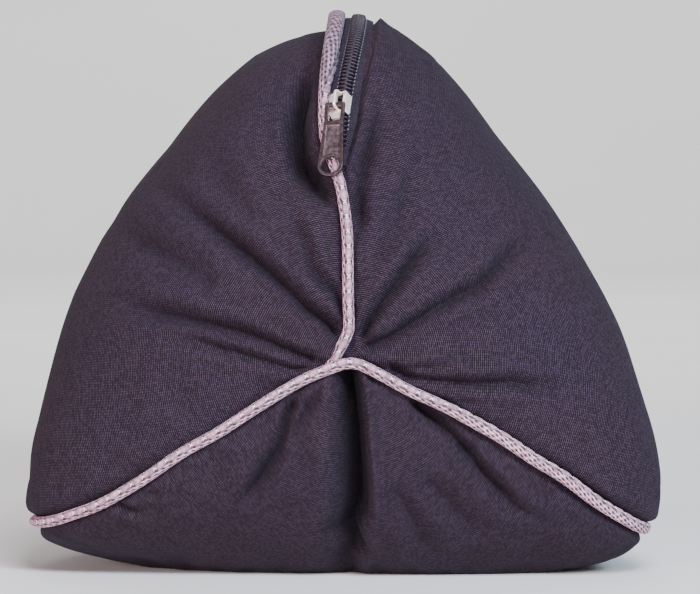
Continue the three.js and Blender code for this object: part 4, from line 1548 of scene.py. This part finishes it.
class StageSettings(bpy.types.PropertyGroup):
    """Floor, lights and lens."""

    lens: FloatProperty(
        name="Lens", description="Focal length in mm", default=228.9, min=10
    )
    floor_color: FloatVectorProperty(
        name="Floor", description="Colour of the floor and backdrop",
        subtype="COLOR", default=(0.88, 0.87, 0.86),
    )
    key_power: FloatProperty(
        name="Key light", description="Power of the upper light", unit="POWER", default=44.0
    )
    warm_power: FloatProperty(
        name="Left light", description="Power of the warm left light", unit="POWER", default=32.0
    )
    cool_power: FloatProperty(
        name="Right light", description="Power of the cool right light", unit="POWER", default=46.5
    )
    front_power: FloatProperty(
        name="Front light", description="Power of the low front light", unit="POWER", default=11.0
    )
    backdrop_power: FloatProperty(
        name="Backdrop light", description="Power of the light on the backdrop", unit="POWER", default=90.0
    )


class PILLOW_OT_finishes(bpy.types.Operator):
    """Make the node groups that several finishes share"""

    bl_idname = "neck_pillow.make_finishes"
    bl_label = "Shared finishes"

    def execute(self, context):
        weave_group()
        wear_group()
        return {"FINISHED"}


class PILLOW_OT_cover(bpy.types.Operator):
    """Make the filled cover of three panels"""

    bl_idname = "neck_pillow.make_cover"
    bl_label = "Cover"

    def execute(self, context):
        settings = context.scene.neck_pillow
        smooth_form, points, folds = cover_form(settings)
        bm = bmesh.new()
        layer = bm.loops.layers.uv.new("Cloth")
        crease = bm.verts.layers.float.new("Crease")
        on_base_panel = bm.verts.layers.float.new("Rubbed")
        for panel in range(PANEL_COUNT):
            columns = np.arange(PANEL_COLUMNS + 1) + panel * PANEL_COLUMNS
            columns = columns % (PANEL_COUNT * PANEL_COLUMNS)
            pattern = flat_pattern(smooth_form[:, columns], NEAR_ROWS + SIDE_ROWS) * MM
            made = add_grid(bm, points[:, columns], pattern, layer)
            for vertex, (row, column) in made.items():
                # Fold depths, from which the cloth's material paints shade into the folds and a highlight
                # onto their ridges
                vertex[crease] = folds[row, columns[column]]
                # Marks the base panel, whose weave contrast is set lower
                vertex[on_base_panel] = float(panel == LEFT)
        piece = finish_piece(bm, "pillow_cover", cloth_material(settings))
        place_piece(piece, "cover_cloth", "filled_cover")
        return {"FINISHED"}


class PILLOW_OT_piping(bpy.types.Operator):
    """Make the braided piping cords along the seams"""

    bl_idname = "neck_pillow.make_piping"
    bl_label = "Piping"

    def execute(self, context):
        material = cord_material(context.scene.neck_pillow)
        path = base_cord_path()
        flattening = np.zeros(len(path))
        base = braided_cord("piping_cord_base", path, flattening, base_cord_twist(path), material)
        place_piece(base, "piping_cord", "piping_base")
        path, flattening = top_cord_path()
        twist = TOP_CORD_TURNED + TOP_CORD_TWIST * flattening
        # Painted shade on the upper cord where it lies flat beside the zip
        painted_shade = painted_cord_shade(flattening)
        top = braided_cord("piping_cord_top", path, flattening, twist, material, painted_shade)
        place_piece(top, "piping_cord", "piping_top")
        return {"FINISHED"}


# Places that the zip is measured at, the step between those that are used, the points of a tape's
# section on an edge and on a face, and half the gap between both tapes
ZIP_MEASURES = 4000
ZIP_STEP = 0.5
TAPE_EDGE_STEPS = 7
TAPE_STEPS_ACROSS = 10
TAPE_HALF_GAP = 0.15


def arc(centre_x, centre_y, radius, start, end, steps):
    """Points on an arc between two angles in degrees."""
    angles = np.linspace(start, end, steps) * DEGREE
    return [(centre_x + radius * math.cos(a), centre_y + radius * math.sin(a)) for a in angles]


def zip_lengths(along):
    """Length along the top seam at places on it."""
    return path_lengths(form_point(np.full_like(along, TOP), along))


def zip_line(start):
    """Places along the zip, evenly apart in length, from a share of the seam's reach."""
    edge = along_at_scale(start)
    places = np.linspace(edge, 1 - edge, ZIP_MEASURES)
    lengths = zip_lengths(places)
    count = int(lengths[-1] / ZIP_STEP)
    return np.interp(np.linspace(0, lengths[-1], count + 1), lengths, places)


def on_zip(along, distance, height):
    """Points over the trough's floor at distances across the zip and heights over the floor."""
    around = around_at(TOP, along, distance)
    rise = height - TROUGH_DEPTH
    return form_point(around, along) + form_normal(around, along) * rise[..., None]


def strip_section(left, right, low, high):
    """A thin strip's section with rounded edges, as distances across and heights."""
    radius = (high - low) / 2
    right_edge = arc(right - radius, low + radius, radius, -90, 90, TAPE_EDGE_STEPS)
    left_edge = arc(left + radius, low + radius, radius, 90, 270, TAPE_EDGE_STEPS)
    across = np.linspace(right - radius, left + radius, TAPE_STEPS_ACROSS)[1:-1]
    top = [(x, high) for x in across]
    bottom = [(x, low) for x in across[::-1]]
    return np.array(right_edge + top + left_edge + bottom + right_edge[:1])


class PILLOW_OT_zip_tapes(bpy.types.Operator):
    """Make the two halves of the zip's tape"""

    bl_idname = "neck_pillow.make_zip_tapes"
    bl_label = "Zip tapes"

    def execute(self, context):
        material = tape_material(context.scene.neck_pillow_zip)
        self.make("zip_tape_left", -TAPE_LEFT, -TAPE_HALF_GAP, LEFT_TAPE_START, material)
        self.make("zip_tape_right", TAPE_HALF_GAP, TAPE_RIGHT, ZIP_START, material)
        return {"FINISHED"}

    def make(self, node, left, right, start, material):
        """One tape, kept as narrow as the zip's opening where that closes."""
        along = zip_line(start)[::2]
        section = strip_section(left, right, TAPE_LOW, TAPE_TOP)
        room = trough_right(growth(along)) - (TROUGH_RIGHT - TAPE_RIGHT)
        across = np.minimum(section[None, :, 0], room[:, None])
        heights = np.broadcast_to(section[None, :, 1], across.shape)
        points = on_zip(along[:, None], across, heights)
        turn = path_lengths(np.pad(section, ((0, 0), (0, 1))))
        uvs = np.stack(np.broadcast_arrays(turn[None, :] * MM, zip_lengths(along)[:, None] * MM), -1)
        bm = bmesh.new()
        layer = bm.loops.layers.uv.new("Cloth")
        add_grid(bm, points, uvs, layer)
        close_ends(bm, len(section))
        piece = finish_piece(bm, node + "_woven", material)
        place_piece(piece, "zip_tape", node)


# One loop of the coil from its foot over its head at the middle and back below: distance from the
# zip's middle, height over the tape, half width and half height of the strand
Bend = namedtuple("Bend", "out height wide high")
COIL_LOOP = (
    Bend(1.95, 0.32, 0.28, 0.24),
    Bend(2.15, 0.75, 0.3, 0.3),
    Bend(1.9, 1.3, 0.32, 0.34),
    Bend(1.35, 1.54, 0.34, 0.34),
    Bend(0.7, 1.6, 0.38, 0.34),
    Bend(0.05, 1.66, 0.5, 0.42),
    Bend(-0.45, 1.4, 0.6, 0.42),
    Bend(-0.6, 0.85, 0.5, 0.34),
    Bend(-0.2, 0.45, 0.4, 0.28),
    Bend(0.8, 0.3, 0.3, 0.24),
)
COIL_SIDES = 6

# Each side of the coil: its direction from the middle, its first loop in loops, and where it starts
CoilSide = namedtuple("CoilSide", "direction shift start")
COIL_HALVES = (CoilSide(-1, 0.25, LEFT_COIL_START), CoilSide(1, 0.75, RIGHT_COIL_START))


def swept_bar(bends, sides, name):
    """A small closed mesh of an oval bar along bends in the XZ plane, given in mm."""
    path = np.stack([bends[:, 0], np.zeros(len(bends)), bends[:, 1]], -1)
    tangents = unit(np.gradient(path, axis=0))
    aside = np.array([0.0, 1.0, 0.0])
    out = np.cross(tangents, aside)
    turns = np.linspace(0, 2 * math.pi, sides + 1)
    points = (
        path[:, None]
        + aside * (np.cos(turns)[None, :] * bends[:, 2:3])[..., None]
        + out[:, None] * (np.sin(turns)[None, :] * bends[:, 3:4])[..., None]
    )
    bm = bmesh.new()
    layer = bm.loops.layers.uv.new("Cord")
    add_grid(bm, points, np.zeros((*points.shape[:2], 2)), layer)
    close_ends(bm, sides)
    bmesh.ops.recalc_face_normals(bm, faces=bm.faces)
    return as_mesh(bm, name)


def zip_frames(along):
    """Place and directions right, up the zip and out of the cloth, at places along the zip."""
    seam = np.full_like(along, TOP)
    origin = form_point(seam, along)
    out = form_normal(seam, along)
    up = form_point(seam, along + STEP) - form_point(seam, along - STEP)
    up = unit(up - out * np.sum(up * out, -1, keepdims=True))
    right = np.cross(up, out)
    return origin - out * TROUGH_DEPTH, right, up, out


def frame_matrix(origin, right, up, out):
    """A transform from a piece's own axes, in metres, to a place on the zip given in mm."""
    matrix = Matrix((right, up, out)).transposed().to_4x4()
    matrix.translation = Vector(origin) * MM
    return matrix


def add_copies(bm, mesh, frames, lift, shift=0):
    """Adds a mesh at each place on the zip, lifted off the trough's floor and shifted to the right."""
    for origin, right, up, out in frames:
        start = len(bm.verts)
        bm.from_mesh(mesh)
        bm.verts.ensure_lookup_table()
        place = frame_matrix(origin + out * lift + right * shift, right, up, out)
        bmesh.ops.transform(bm, matrix=place, verts=bm.verts[start:])


class PILLOW_OT_zip_coil(bpy.types.Operator):
    """Make the closed coil of the zip"""

    bl_idname = "neck_pillow.make_zip_coil"
    bl_label = "Zip coil"

    def execute(self, context):
        settings = context.scene.neck_pillow_zip
        bm = bmesh.new()
        for half in COIL_HALVES:
            line = zip_line(half.start)
            lengths = zip_lengths(line)
            count = int(lengths[-1] / settings.tooth_pitch)
            places = (np.arange(count) + half.shift) * settings.tooth_pitch
            bends = np.array(COIL_LOOP) * (half.direction, 1, 1, 1)
            loop = swept_bar(bends, COIL_SIDES, "coil loop")
            add_copies(bm, loop, zip(*zip_frames(np.interp(places, lengths, line))), TAPE_TOP)
            bpy.data.meshes.remove(loop)
        piece = finish_piece(bm, "zip_coil", coil_material(settings), weld=0)
        place_piece(piece, "zip_coil", "zip_chain")
        return {"FINISHED"}


# Stitches that hold the coil: distance from its middle, spacing, length, radius, width as a share of
# their height, and height over the tape in radii
STITCH_OUT = 2.5
STITCH_PITCH = 1.6
STITCH_LENGTH = 1.1
STITCH_RADIUS = 0.22
STITCH_WIDER = 1.2
STITCH_RISE = 1.6


class PILLOW_OT_stitches(bpy.types.Operator):
    """Make the pale stitches that hold the coil on its tapes"""

    bl_idname = "neck_pillow.make_stitches"
    bl_label = "Coil stitches"

    def execute(self, context):
        settings = context.scene.neck_pillow_zip
        line = zip_line(LEFT_COIL_START)
        lengths = zip_lengths(line)
        places = np.arange(0.5, lengths[-1] / STITCH_PITCH - 0.5) * STITCH_PITCH
        along = np.interp(places, lengths, line)
        stitch = bmesh.new()
        bmesh.ops.create_icosphere(stitch, subdivisions=1, radius=STITCH_RADIUS * MM)
        stretch = (STITCH_WIDER, STITCH_LENGTH / 2 / STITCH_RADIUS, 1)
        bmesh.ops.scale(stitch, vec=stretch, verts=stitch.verts)
        mesh = as_mesh(stitch, "stitch")
        lift = TAPE_TOP + STITCH_RADIUS * STITCH_RISE
        bm = bmesh.new()
        for side in (-1, 1):
            add_copies(bm, mesh, zip(*zip_frames(along)), lift, side * STITCH_OUT)
        bpy.data.meshes.remove(mesh)
        thread_color = (*settings.thread_color, 1)
        material, _, _ = new_material("Coil thread", roughness=0.6, Base_Color=thread_color)
        piece = finish_piece(bm, "zip_coil_stitches", material, weld=0)
        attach(piece, "root")
        return {"FINISHED"}


# Castings: steps that an edge is rounded in, the turn in degrees from which it is, the turn from
# which it still shows as sharp, and how much large faces count in its shading
EDGE_SEGMENTS = 3
EDGE_ANGLE = 25
SHARP_ANGLE = 50
NORMAL_WEIGHT = 80


def rectangle(left, right, low, high):
    """The corners of an upright rectangle."""
    return [(left, low), (right, low), (right, high), (left, high)]


def outline_block(outline, low, high):
    """A closed block over an outline of points in mm, between two heights."""
    bm = bmesh.new()
    corners = [bm.verts.new((x * MM, y * MM, low * MM)) for x, y in outline]
    face = bm.faces.new(corners)
    raised = bmesh.ops.extrude_face_region(bm, geom=[face])["geom"]
    verts = [item for item in raised if isinstance(item, bmesh.types.BMVert)]
    bmesh.ops.translate(bm, verts=verts, vec=(0, 0, (high - low) * MM))
    bmesh.ops.recalc_face_normals(bm, faces=bm.faces)
    return add_object("block", as_mesh(bm, "block"))


def join_block(base, other, operation):
    """Cuts another block out of the base or joins it on; the other block goes."""
    modifier = base.modifiers.new("join", "BOOLEAN")
    modifier.operation = operation
    modifier.solver = "EXACT"
    modifier.object = other
    bpy.context.view_layer.update()
    graph = bpy.context.evaluated_depsgraph_get()
    mesh = bpy.data.meshes.new_from_object(base.evaluated_get(graph))
    base.modifiers.clear()
    old = base.data
    base.data = mesh
    bpy.data.meshes.remove(old)
    remove_object(other)


def take_bmesh(block):
    """A block's mesh as a bmesh; the block goes."""
    bm = bmesh.new()
    bm.from_mesh(block.data)
    remove_object(block)
    return bm


def soften(bm, width):
    """Rounds a casting's edges by a width in mm."""
    bmesh.ops.dissolve_limit(bm, angle_limit=DEGREE, verts=bm.verts, edges=bm.edges)
    limit = EDGE_ANGLE * DEGREE
    sharp = [edge for edge in bm.edges if edge.is_manifold and edge.calc_face_angle(0) > limit]
    bmesh.ops.bevel(
        bm,
        geom=sharp,
        offset=width * MM,
        offset_type="OFFSET",
        segments=EDGE_SEGMENTS,
        profile=0.5,
        affect="EDGES",
        clamp_overlap=True,
        material=-1,
    )


def even_shading(piece):
    """Keeps the flat faces of a casting flat in the light, with soft edges between them."""
    piece.data.set_sharp_from_angle(angle=SHARP_ANGLE * DEGREE)
    modifier = piece.modifiers.new("even shading", "WEIGHTED_NORMAL")
    modifier.weight = NORMAL_WEIGHT
    modifier.keep_sharp = True


# Slider, in its own frame: x to the right, y up along the zip, z away from the cloth; roll in degrees
SLIDER_ROLL = 32
SLIDER_LENGTH = 10
SLIDER_SHOULDER = 3.2  # half the width at its shoulders, where its sides narrow, and at its tail
SLIDER_SIDE = 3.1
SLIDER_TAIL = 1.2
SLIDER_NARROWS = -1.7
SLIDER_CORNER = 0.6
SLIDER_SHIFT = -0.6  # its plate stands this far right of the chain's middle and this far down it
SLIDER_DOWN = 1.3
SLIDER_PLATE = 1.1
SLIDER_CLEARANCE = 0.3
SLIDER_EDGE = 0.22
CHANNEL_SHIFT = -0.5  # the middle of its channel, which the coil runs through
PLATE_LOW = CHAIN_TOP + SLIDER_CLEARANCE
PLATE_TOP = PLATE_LOW + SLIDER_PLATE

# The well through the slider's plate, and the bridge that stands over it
WELL_HALF = 1.35
WELL_LOW = -3.2
WELL_HIGH = 2.9
BRIDGE_HALF_WIDTH = 0.48
BRIDGE_HALF_BAR = 0.4
BRIDGE_GAP = 2.4
BRIDGE_SPAN = 5.4
BRIDGE_ROUND = 1.5
BRIDGE_ROUND_STEPS = 7
BRIDGE_ROOT = -0.6  # its feet reach this far into the plate
BRIDGE_SIDES = 12


def slider_matrix():
    """Where the slider stands on the chain; it leans over to the left."""
    along = np.array([along_at_scale(SLIDER_REACH)])
    frame_there = frame_matrix(*(part[0] for part in zip_frames(along)))
    pivot = Matrix.Translation(Vector((0, 0, (CHAIN_LOW + CHAIN_TOP) / 2)) * MM)
    return frame_there @ pivot @ Matrix.Rotation(-SLIDER_ROLL * DEGREE, 4, "Y") @ pivot.inverted()


class PILLOW_OT_slider(bpy.types.Operator):
    """Make the zip's slider"""

    bl_idname = "neck_pillow.make_slider"
    bl_label = "Slider"

    def execute(self, context):
        settings = context.scene.neck_pillow_zip
        body = outline_block(self.outline(), CHAIN_LOW, PLATE_TOP)
        inner = CHAIN_HALF_WIDTH + SLIDER_CLEARANCE
        channel = rectangle(CHANNEL_SHIFT - inner, CHANNEL_SHIFT + inner, -SLIDER_LENGTH, SLIDER_LENGTH)
        join_block(body, outline_block(channel, 0, PLATE_LOW), "DIFFERENCE")
        well = rectangle(-WELL_HALF, WELL_HALF, WELL_LOW, WELL_HIGH)
        join_block(body, outline_block(well, 0, PLATE_TOP + SLIDER_PLATE), "DIFFERENCE")
        bm = take_bmesh(body)
        soften(bm, SLIDER_EDGE)
        body = add_object("block", as_mesh(bm, "block"))
        join_block(body, self.bridge(), "UNION")
        bm = take_bmesh(body)
        bmesh.ops.transform(bm, matrix=slider_matrix(), verts=bm.verts)
        material = metal_material("Slider metal", settings.slider_color, SLIDER_METALLIC)
        piece = finish_piece(bm, "zip_slider_body", material)
        even_shading(piece)
        place_piece(piece, "slider_metal", "zip_slider")
        return {"FINISHED"}

    def outline(self):
        """The plate from above: straight shoulders, and sides that narrow to the tail."""
        half = SLIDER_LENGTH / 2
        corners = [
            (-SLIDER_SHOULDER, half - SLIDER_CORNER),
            (-SLIDER_SIDE, SLIDER_NARROWS),
            (-SLIDER_TAIL, -half),
            (SLIDER_TAIL, -half),
            (SLIDER_SIDE, SLIDER_NARROWS),
            (SLIDER_SHOULDER, half - SLIDER_CORNER),
            (SLIDER_SHOULDER - SLIDER_CORNER, half),
            (-SLIDER_SHOULDER + SLIDER_CORNER, half),
        ]
        return [(x + SLIDER_SHIFT, y - SLIDER_DOWN) for x, y in corners]

    def bridge(self):
        """The arch that the pull hangs from, standing along the zip."""
        reach = BRIDGE_SPAN / 2 + BRIDGE_HALF_BAR
        shoulder = BRIDGE_GAP + BRIDGE_HALF_BAR - BRIDGE_ROUND
        side = reach - BRIDGE_ROUND
        route = [(reach, BRIDGE_ROOT), (reach, 0)]
        route += arc(side, shoulder, BRIDGE_ROUND, 0, 90, BRIDGE_ROUND_STEPS)
        route += arc(-side, shoulder, BRIDGE_ROUND, 90, 180, BRIDGE_ROUND_STEPS)
        route += [(-reach, 0), (-reach, BRIDGE_ROOT)]
        bends = [(x, z, BRIDGE_HALF_WIDTH, BRIDGE_HALF_BAR) for x, z in route]
        mesh = swept_bar(np.array(bends), BRIDGE_SIDES, "bridge")
        stand = Matrix.Rotation(math.pi / 2, 4, "Z")
        stand.translation = (0, 0, PLATE_TOP * MM)
        mesh.transform(stand)
        return add_object("bridge", mesh)


# Pull tab, in its own frame from its bar's middle, as the slider's; tilt, swing and roll in degrees
PULL_LENGTH = 26.2
PULL_THICKNESS = 1.3
PULL_TOP_WIDTH = 6.3
PULL_BOTTOM_WIDTH = 8.2
PULL_FOOT_STEPS = 25
PULL_EDGE = 0.32
PULL_BAR = 1.2
PULL_NECK = 7.6  # how far down its sides run straight
PULL_SLOT = 6.1
PULL_SIDE_ARM = 1.1
PULL_HOLE = 6.2
PULL_HOLE_STEPS = 32
PULL_CUTTER = 2  # half the height of the blocks that cut its slot and its hole
PULL_SHIFT = -0.2
PULL_HEIGHT = PLATE_TOP + BRIDGE_GAP / 2 + 0.2
PULL_TILT = 4
PULL_SWING = 1.5
PULL_ROLL = 14

# The pull's sunk field: its depth, the rims beside it and round the hole, the bar over it, and the
# bearing in degrees where it meets the hole's rim
FIELD_DEPTH = 0.4
FIELD_RIM = 0.85
FIELD_HOLE_RIM = 0.9
FIELD_TOP_BAR = 1.6
FIELD_MEETS_HOLE = 52
FIELD_STEPS = 9
FIELD_TOLERANCE = 0.05


class PILLOW_OT_pull(bpy.types.Operator):
    """Make the zip's pull tab"""

    bl_idname = "neck_pillow.make_pull"
    bl_label = "Pull"

    def execute(self, context):
        settings = context.scene.neck_pillow_zip
        bottom = PULL_BOTTOM_WIDTH / 2
        foot = bottom - PULL_LENGTH
        half = PULL_THICKNESS / 2
        tab = outline_block(self.outline(foot, bottom), -half, half)
        inner = PULL_TOP_WIDTH / 2 - PULL_SIDE_ARM
        slot = rectangle(-inner, inner, -PULL_SLOT, -PULL_BAR / 2)
        join_block(tab, outline_block(slot, -PULL_CUTTER, PULL_CUTTER), "DIFFERENCE")
        hole = arc(0, foot, PULL_HOLE / 2, 0, 360, PULL_HOLE_STEPS + 1)[:-1]
        join_block(tab, outline_block(hole, -PULL_CUTTER, PULL_CUTTER), "DIFFERENCE")
        join_block(tab, outline_block(self.field(foot), half - FIELD_DEPTH, PULL_CUTTER), "DIFFERENCE")
        bm = take_bmesh(tab)
        soften(bm, PULL_EDGE)
        # Marks the sunk field, which the painted shade on the rims leaves out
        sunk = bm.verts.layers.float.new("Field")
        for vertex in bm.verts:
            vertex[sunk] = float(abs(vertex.co.z / MM - half + FIELD_DEPTH) < FIELD_TOLERANCE)
        bmesh.ops.transform(bm, matrix=slider_matrix() @ self.hanging(), verts=bm.verts)
        material = metal_material("Pull metal", settings.pull_color, 1.0)
        # Painted shade on the pull's rims round its sunk field
        self.paint_rim_shade(material, settings)
        piece = finish_piece(bm, "zip_pull_tab", material)
        even_shading(piece)
        place_piece(piece, "pull_metal", "zip_pull")
        return {"FINISHED"}

    def outline(self, foot, bottom):
        """The tab from above, wider and round at its foot."""
        top = PULL_TOP_WIDTH / 2
        left = [(-top, PULL_BAR / 2), (-top, -PULL_NECK)]
        right = [(top, -PULL_NECK), (top, PULL_BAR / 2)]
        return left + arc(0, foot, bottom, 180, 360, PULL_FOOT_STEPS) + right

    def field(self, foot):
        """The sunk field between the pull's rims, over its hole."""
        high = -PULL_SLOT - FIELD_TOP_BAR
        ring = PULL_HOLE / 2 + FIELD_HOLE_RIM
        side = PULL_TOP_WIDTH / 2 - FIELD_RIM
        low = arc(0, foot, ring, 180 - FIELD_MEETS_HOLE, FIELD_MEETS_HOLE, FIELD_STEPS)
        return [(-side, high), *low, (side, high)]

    def hanging(self):
        """How the pull hangs from the bridge, in the slider's frame."""
        middle = Vector((PULL_SHIFT, PULL_BAR / 2 - BRIDGE_SPAN / 2, PULL_HEIGHT))
        turn = Matrix.Rotation(PULL_TILT * DEGREE, 4, "X") @ Matrix.Rotation(PULL_SWING * DEGREE, 4, "Z")
        turn = Matrix.Rotation((SLIDER_ROLL - PULL_ROLL) * DEGREE, 4, "Y") @ turn
        return Matrix.Translation(middle * MM) @ turn

    def paint_rim_shade(self, material, settings):
        """The sunk field is paler than the rims round it: painted shade darkens the rims, for the dark
        surroundings that their rounded faces reflect.
        """
        tree = material.node_tree
        color_socket = tree.nodes["Principled BSDF"].inputs["Base Color"]
        color = color_socket.links[0].from_socket
        shade = remap(tree, point_value(tree, "Field"), Ramp(0, 1, settings.painted_rim_shade, 1))
        tree.links.new(scale_color(tree, color, shade), color_socket)


# Stage, in metres: the floor and the backdrop that it turns up into, the camera and the lights
FLOOR_SIDE = 3.0
FLOOR_FRONT = -3.0
FLOOR_BACK = 2.6
BACKDROP_RADIUS = 1.2
BACKDROP_STEPS = 17
BACKDROP_TOP = 3.2
FLOOR_TONE_SCALE = 3
FLOOR_TONES = Ramp(0.3, 0.7, 0.97, 1.03)
CAMERA_PLACE = (0.0, -1.595, 0.150)
CAMERA_AIM = (0.0028, -0.145, 0.0889)
CAMERA_SENSOR = 36
WORLD_COLOR = (0.86, 0.88, 0.92, 1)
WORLD_STRENGTH = 0.1
PILLOW_MIDDLE = (0, 0, 0.08)
BACKDROP_MIDDLE = (0, FLOOR_BACK + 1, 0.6)

# Each softbox, with the name of the setting that holds its power
Softbox = namedtuple("Softbox", "name place target size power color")
SOFTBOXES = (
    Softbox("Top softbox", (0.35, -1.6, 1.35), PILLOW_MIDDLE, 0.7, "key_power", (0.96, 0.92, 1.0)),
    Softbox("Left softbox", (-1.1, -1.6, 0.28), PILLOW_MIDDLE, 0.5, "warm_power", (1.0, 0.79, 0.76)),
    Softbox("Right softbox", (1.05, -1.55, 0.88), PILLOW_MIDDLE, 0.5, "cool_power", (0.66, 0.85, 1.0)),
    Softbox("Front softbox", (0.15, -1.9, 0.12), PILLOW_MIDDLE, 0.6, "front_power", (1.0, 0.81, 0.92)),
    Softbox("Backdrop softbox", (0, 1.0, 2.4), BACKDROP_MIDDLE, 1.6, "backdrop_power", (1, 1, 1)),
)


def aim_at(item, place, target):
    """Puts a lamp or a camera at a place and turns it to a target."""
    item.location = place
    aim = Vector(target) - Vector(place)
    item.rotation_euler = aim.to_track_quat("-Z", "Y").to_euler()


class PILLOW_OT_stage(bpy.types.Operator):
    """Make the floor, the lights and the camera"""

    bl_idname = "neck_pillow.make_stage"
    bl_label = "Stage"

    def execute(self, context):
        settings = context.scene.neck_pillow_stage
        self.floor(settings)
        for softbox in SOFTBOXES:
            self.light(softbox, getattr(settings, softbox.power))
        world = bpy.data.worlds.new("Studio")
        world.use_nodes = True
        background = world.node_tree.nodes["Background"]
        background.inputs["Color"].default_value = WORLD_COLOR
        background.inputs["Strength"].default_value = WORLD_STRENGTH
        context.scene.world = world
        camera = add_object("Camera", bpy.data.cameras.new("Camera"))
        camera.data.lens = settings.lens
        camera.data.sensor_width = CAMERA_SENSOR
        aim_at(camera, CAMERA_PLACE, CAMERA_AIM)
        context.scene.camera = camera
        return {"FINISHED"}

    def floor(self, settings):
        """A pale floor that turns up into a backdrop."""
        bend = arc(FLOOR_BACK, BACKDROP_RADIUS, BACKDROP_RADIUS, -90, 0, BACKDROP_STEPS)
        profile = [(FLOOR_FRONT, 0), *bend, (FLOOR_BACK + BACKDROP_RADIUS, BACKDROP_TOP)]
        bm = bmesh.new()
        line = [bm.verts.new((-FLOOR_SIDE, y, z)) for y, z in profile]
        edges = [bm.edges.new(pair) for pair in zip(line, line[1:])]
        swept = bmesh.ops.extrude_edge_only(bm, edges=edges)["geom"]
        verts = [item for item in swept if isinstance(item, bmesh.types.BMVert)]
        bmesh.ops.translate(bm, verts=verts, vec=(2 * FLOOR_SIDE, 0, 0))
        material, tree, shader = new_material("Floor", roughness=0.8)
        tone = remap(tree, noise(tree, object_place(tree), FLOOR_TONE_SCALE), FLOOR_TONES)
        wire(tree, shader, Base_Color=scale_color(tree, tuple(settings.floor_color), tone))
        floor = finish_piece(bm, "floor", material)
        if sum(face.normal.z for face in floor.data.polygons) < 0:
            floor.data.flip_normals()

    def light(self, softbox, power):
        """A square lamp turned to its target."""
        lamp = bpy.data.lights.new(softbox.name, "AREA")
        lamp.shape = "SQUARE"
        lamp.size = softbox.size
        lamp.energy = power
        lamp.color = softbox.color
        aim_at(add_object(softbox.name, lamp), softbox.place, softbox.target)


OPERATORS = (
    PILLOW_OT_finishes,
    PILLOW_OT_stage,
    PILLOW_OT_cover,
    PILLOW_OT_piping,
    PILLOW_OT_zip_tapes,
    PILLOW_OT_zip_coil,
    PILLOW_OT_stitches,
    PILLOW_OT_slider,
    PILLOW_OT_pull,
)


class VIEW3D_PT_neck_pillow(bpy.types.Panel):
    """Lists the pillow's pieces and their settings"""

    bl_label = "Neck Pillow"
    bl_space_type = "VIEW_3D"
    bl_region_type = "UI"
    bl_category = "Neck Pillow"

    def draw(self, context):
        for operator in OPERATORS:
            self.layout.operator(operator.bl_idname)
        scene = context.scene
        for group in (scene.neck_pillow, scene.neck_pillow_zip, scene.neck_pillow_stage):
            column = self.layout.column()
            for name in group.__annotations__:
                column.prop(group, name)


CLASSES = (PillowSettings, ZipSettings, StageSettings, *OPERATORS, VIEW3D_PT_neck_pillow)


def register():
    """Registers the add-on's classes and gives the scene their settings."""
    for cls in CLASSES:
        bpy.utils.register_class(cls)
    bpy.types.Scene.neck_pillow = PointerProperty(type=PillowSettings)
    bpy.types.Scene.neck_pillow_zip = PointerProperty(type=ZipSettings)
    bpy.types.Scene.neck_pillow_stage = PointerProperty(type=StageSettings)


def unregister():
    """Takes the settings and the classes away again."""
    del bpy.types.Scene.neck_pillow_stage
    del bpy.types.Scene.neck_pillow_zip
    del bpy.types.Scene.neck_pillow
    for cls in reversed(CLASSES):
        bpy.utils.unregister_class(cls)


def main():
    """Makes the shared finishes, the stage and every piece."""
    register()
    bpy.ops.neck_pillow.make_finishes()
    bpy.ops.neck_pillow.make_stage()
    bpy.ops.neck_pillow.make_cover()
    bpy.ops.neck_pillow.make_piping()
    bpy.ops.neck_pillow.make_zip_tapes()
    bpy.ops.neck_pillow.make_zip_coil()
    bpy.ops.neck_pillow.make_stitches()
    bpy.ops.neck_pillow.make_slider()
    bpy.ops.neck_pillow.make_pull()


if __name__ == "__main__":
    main()
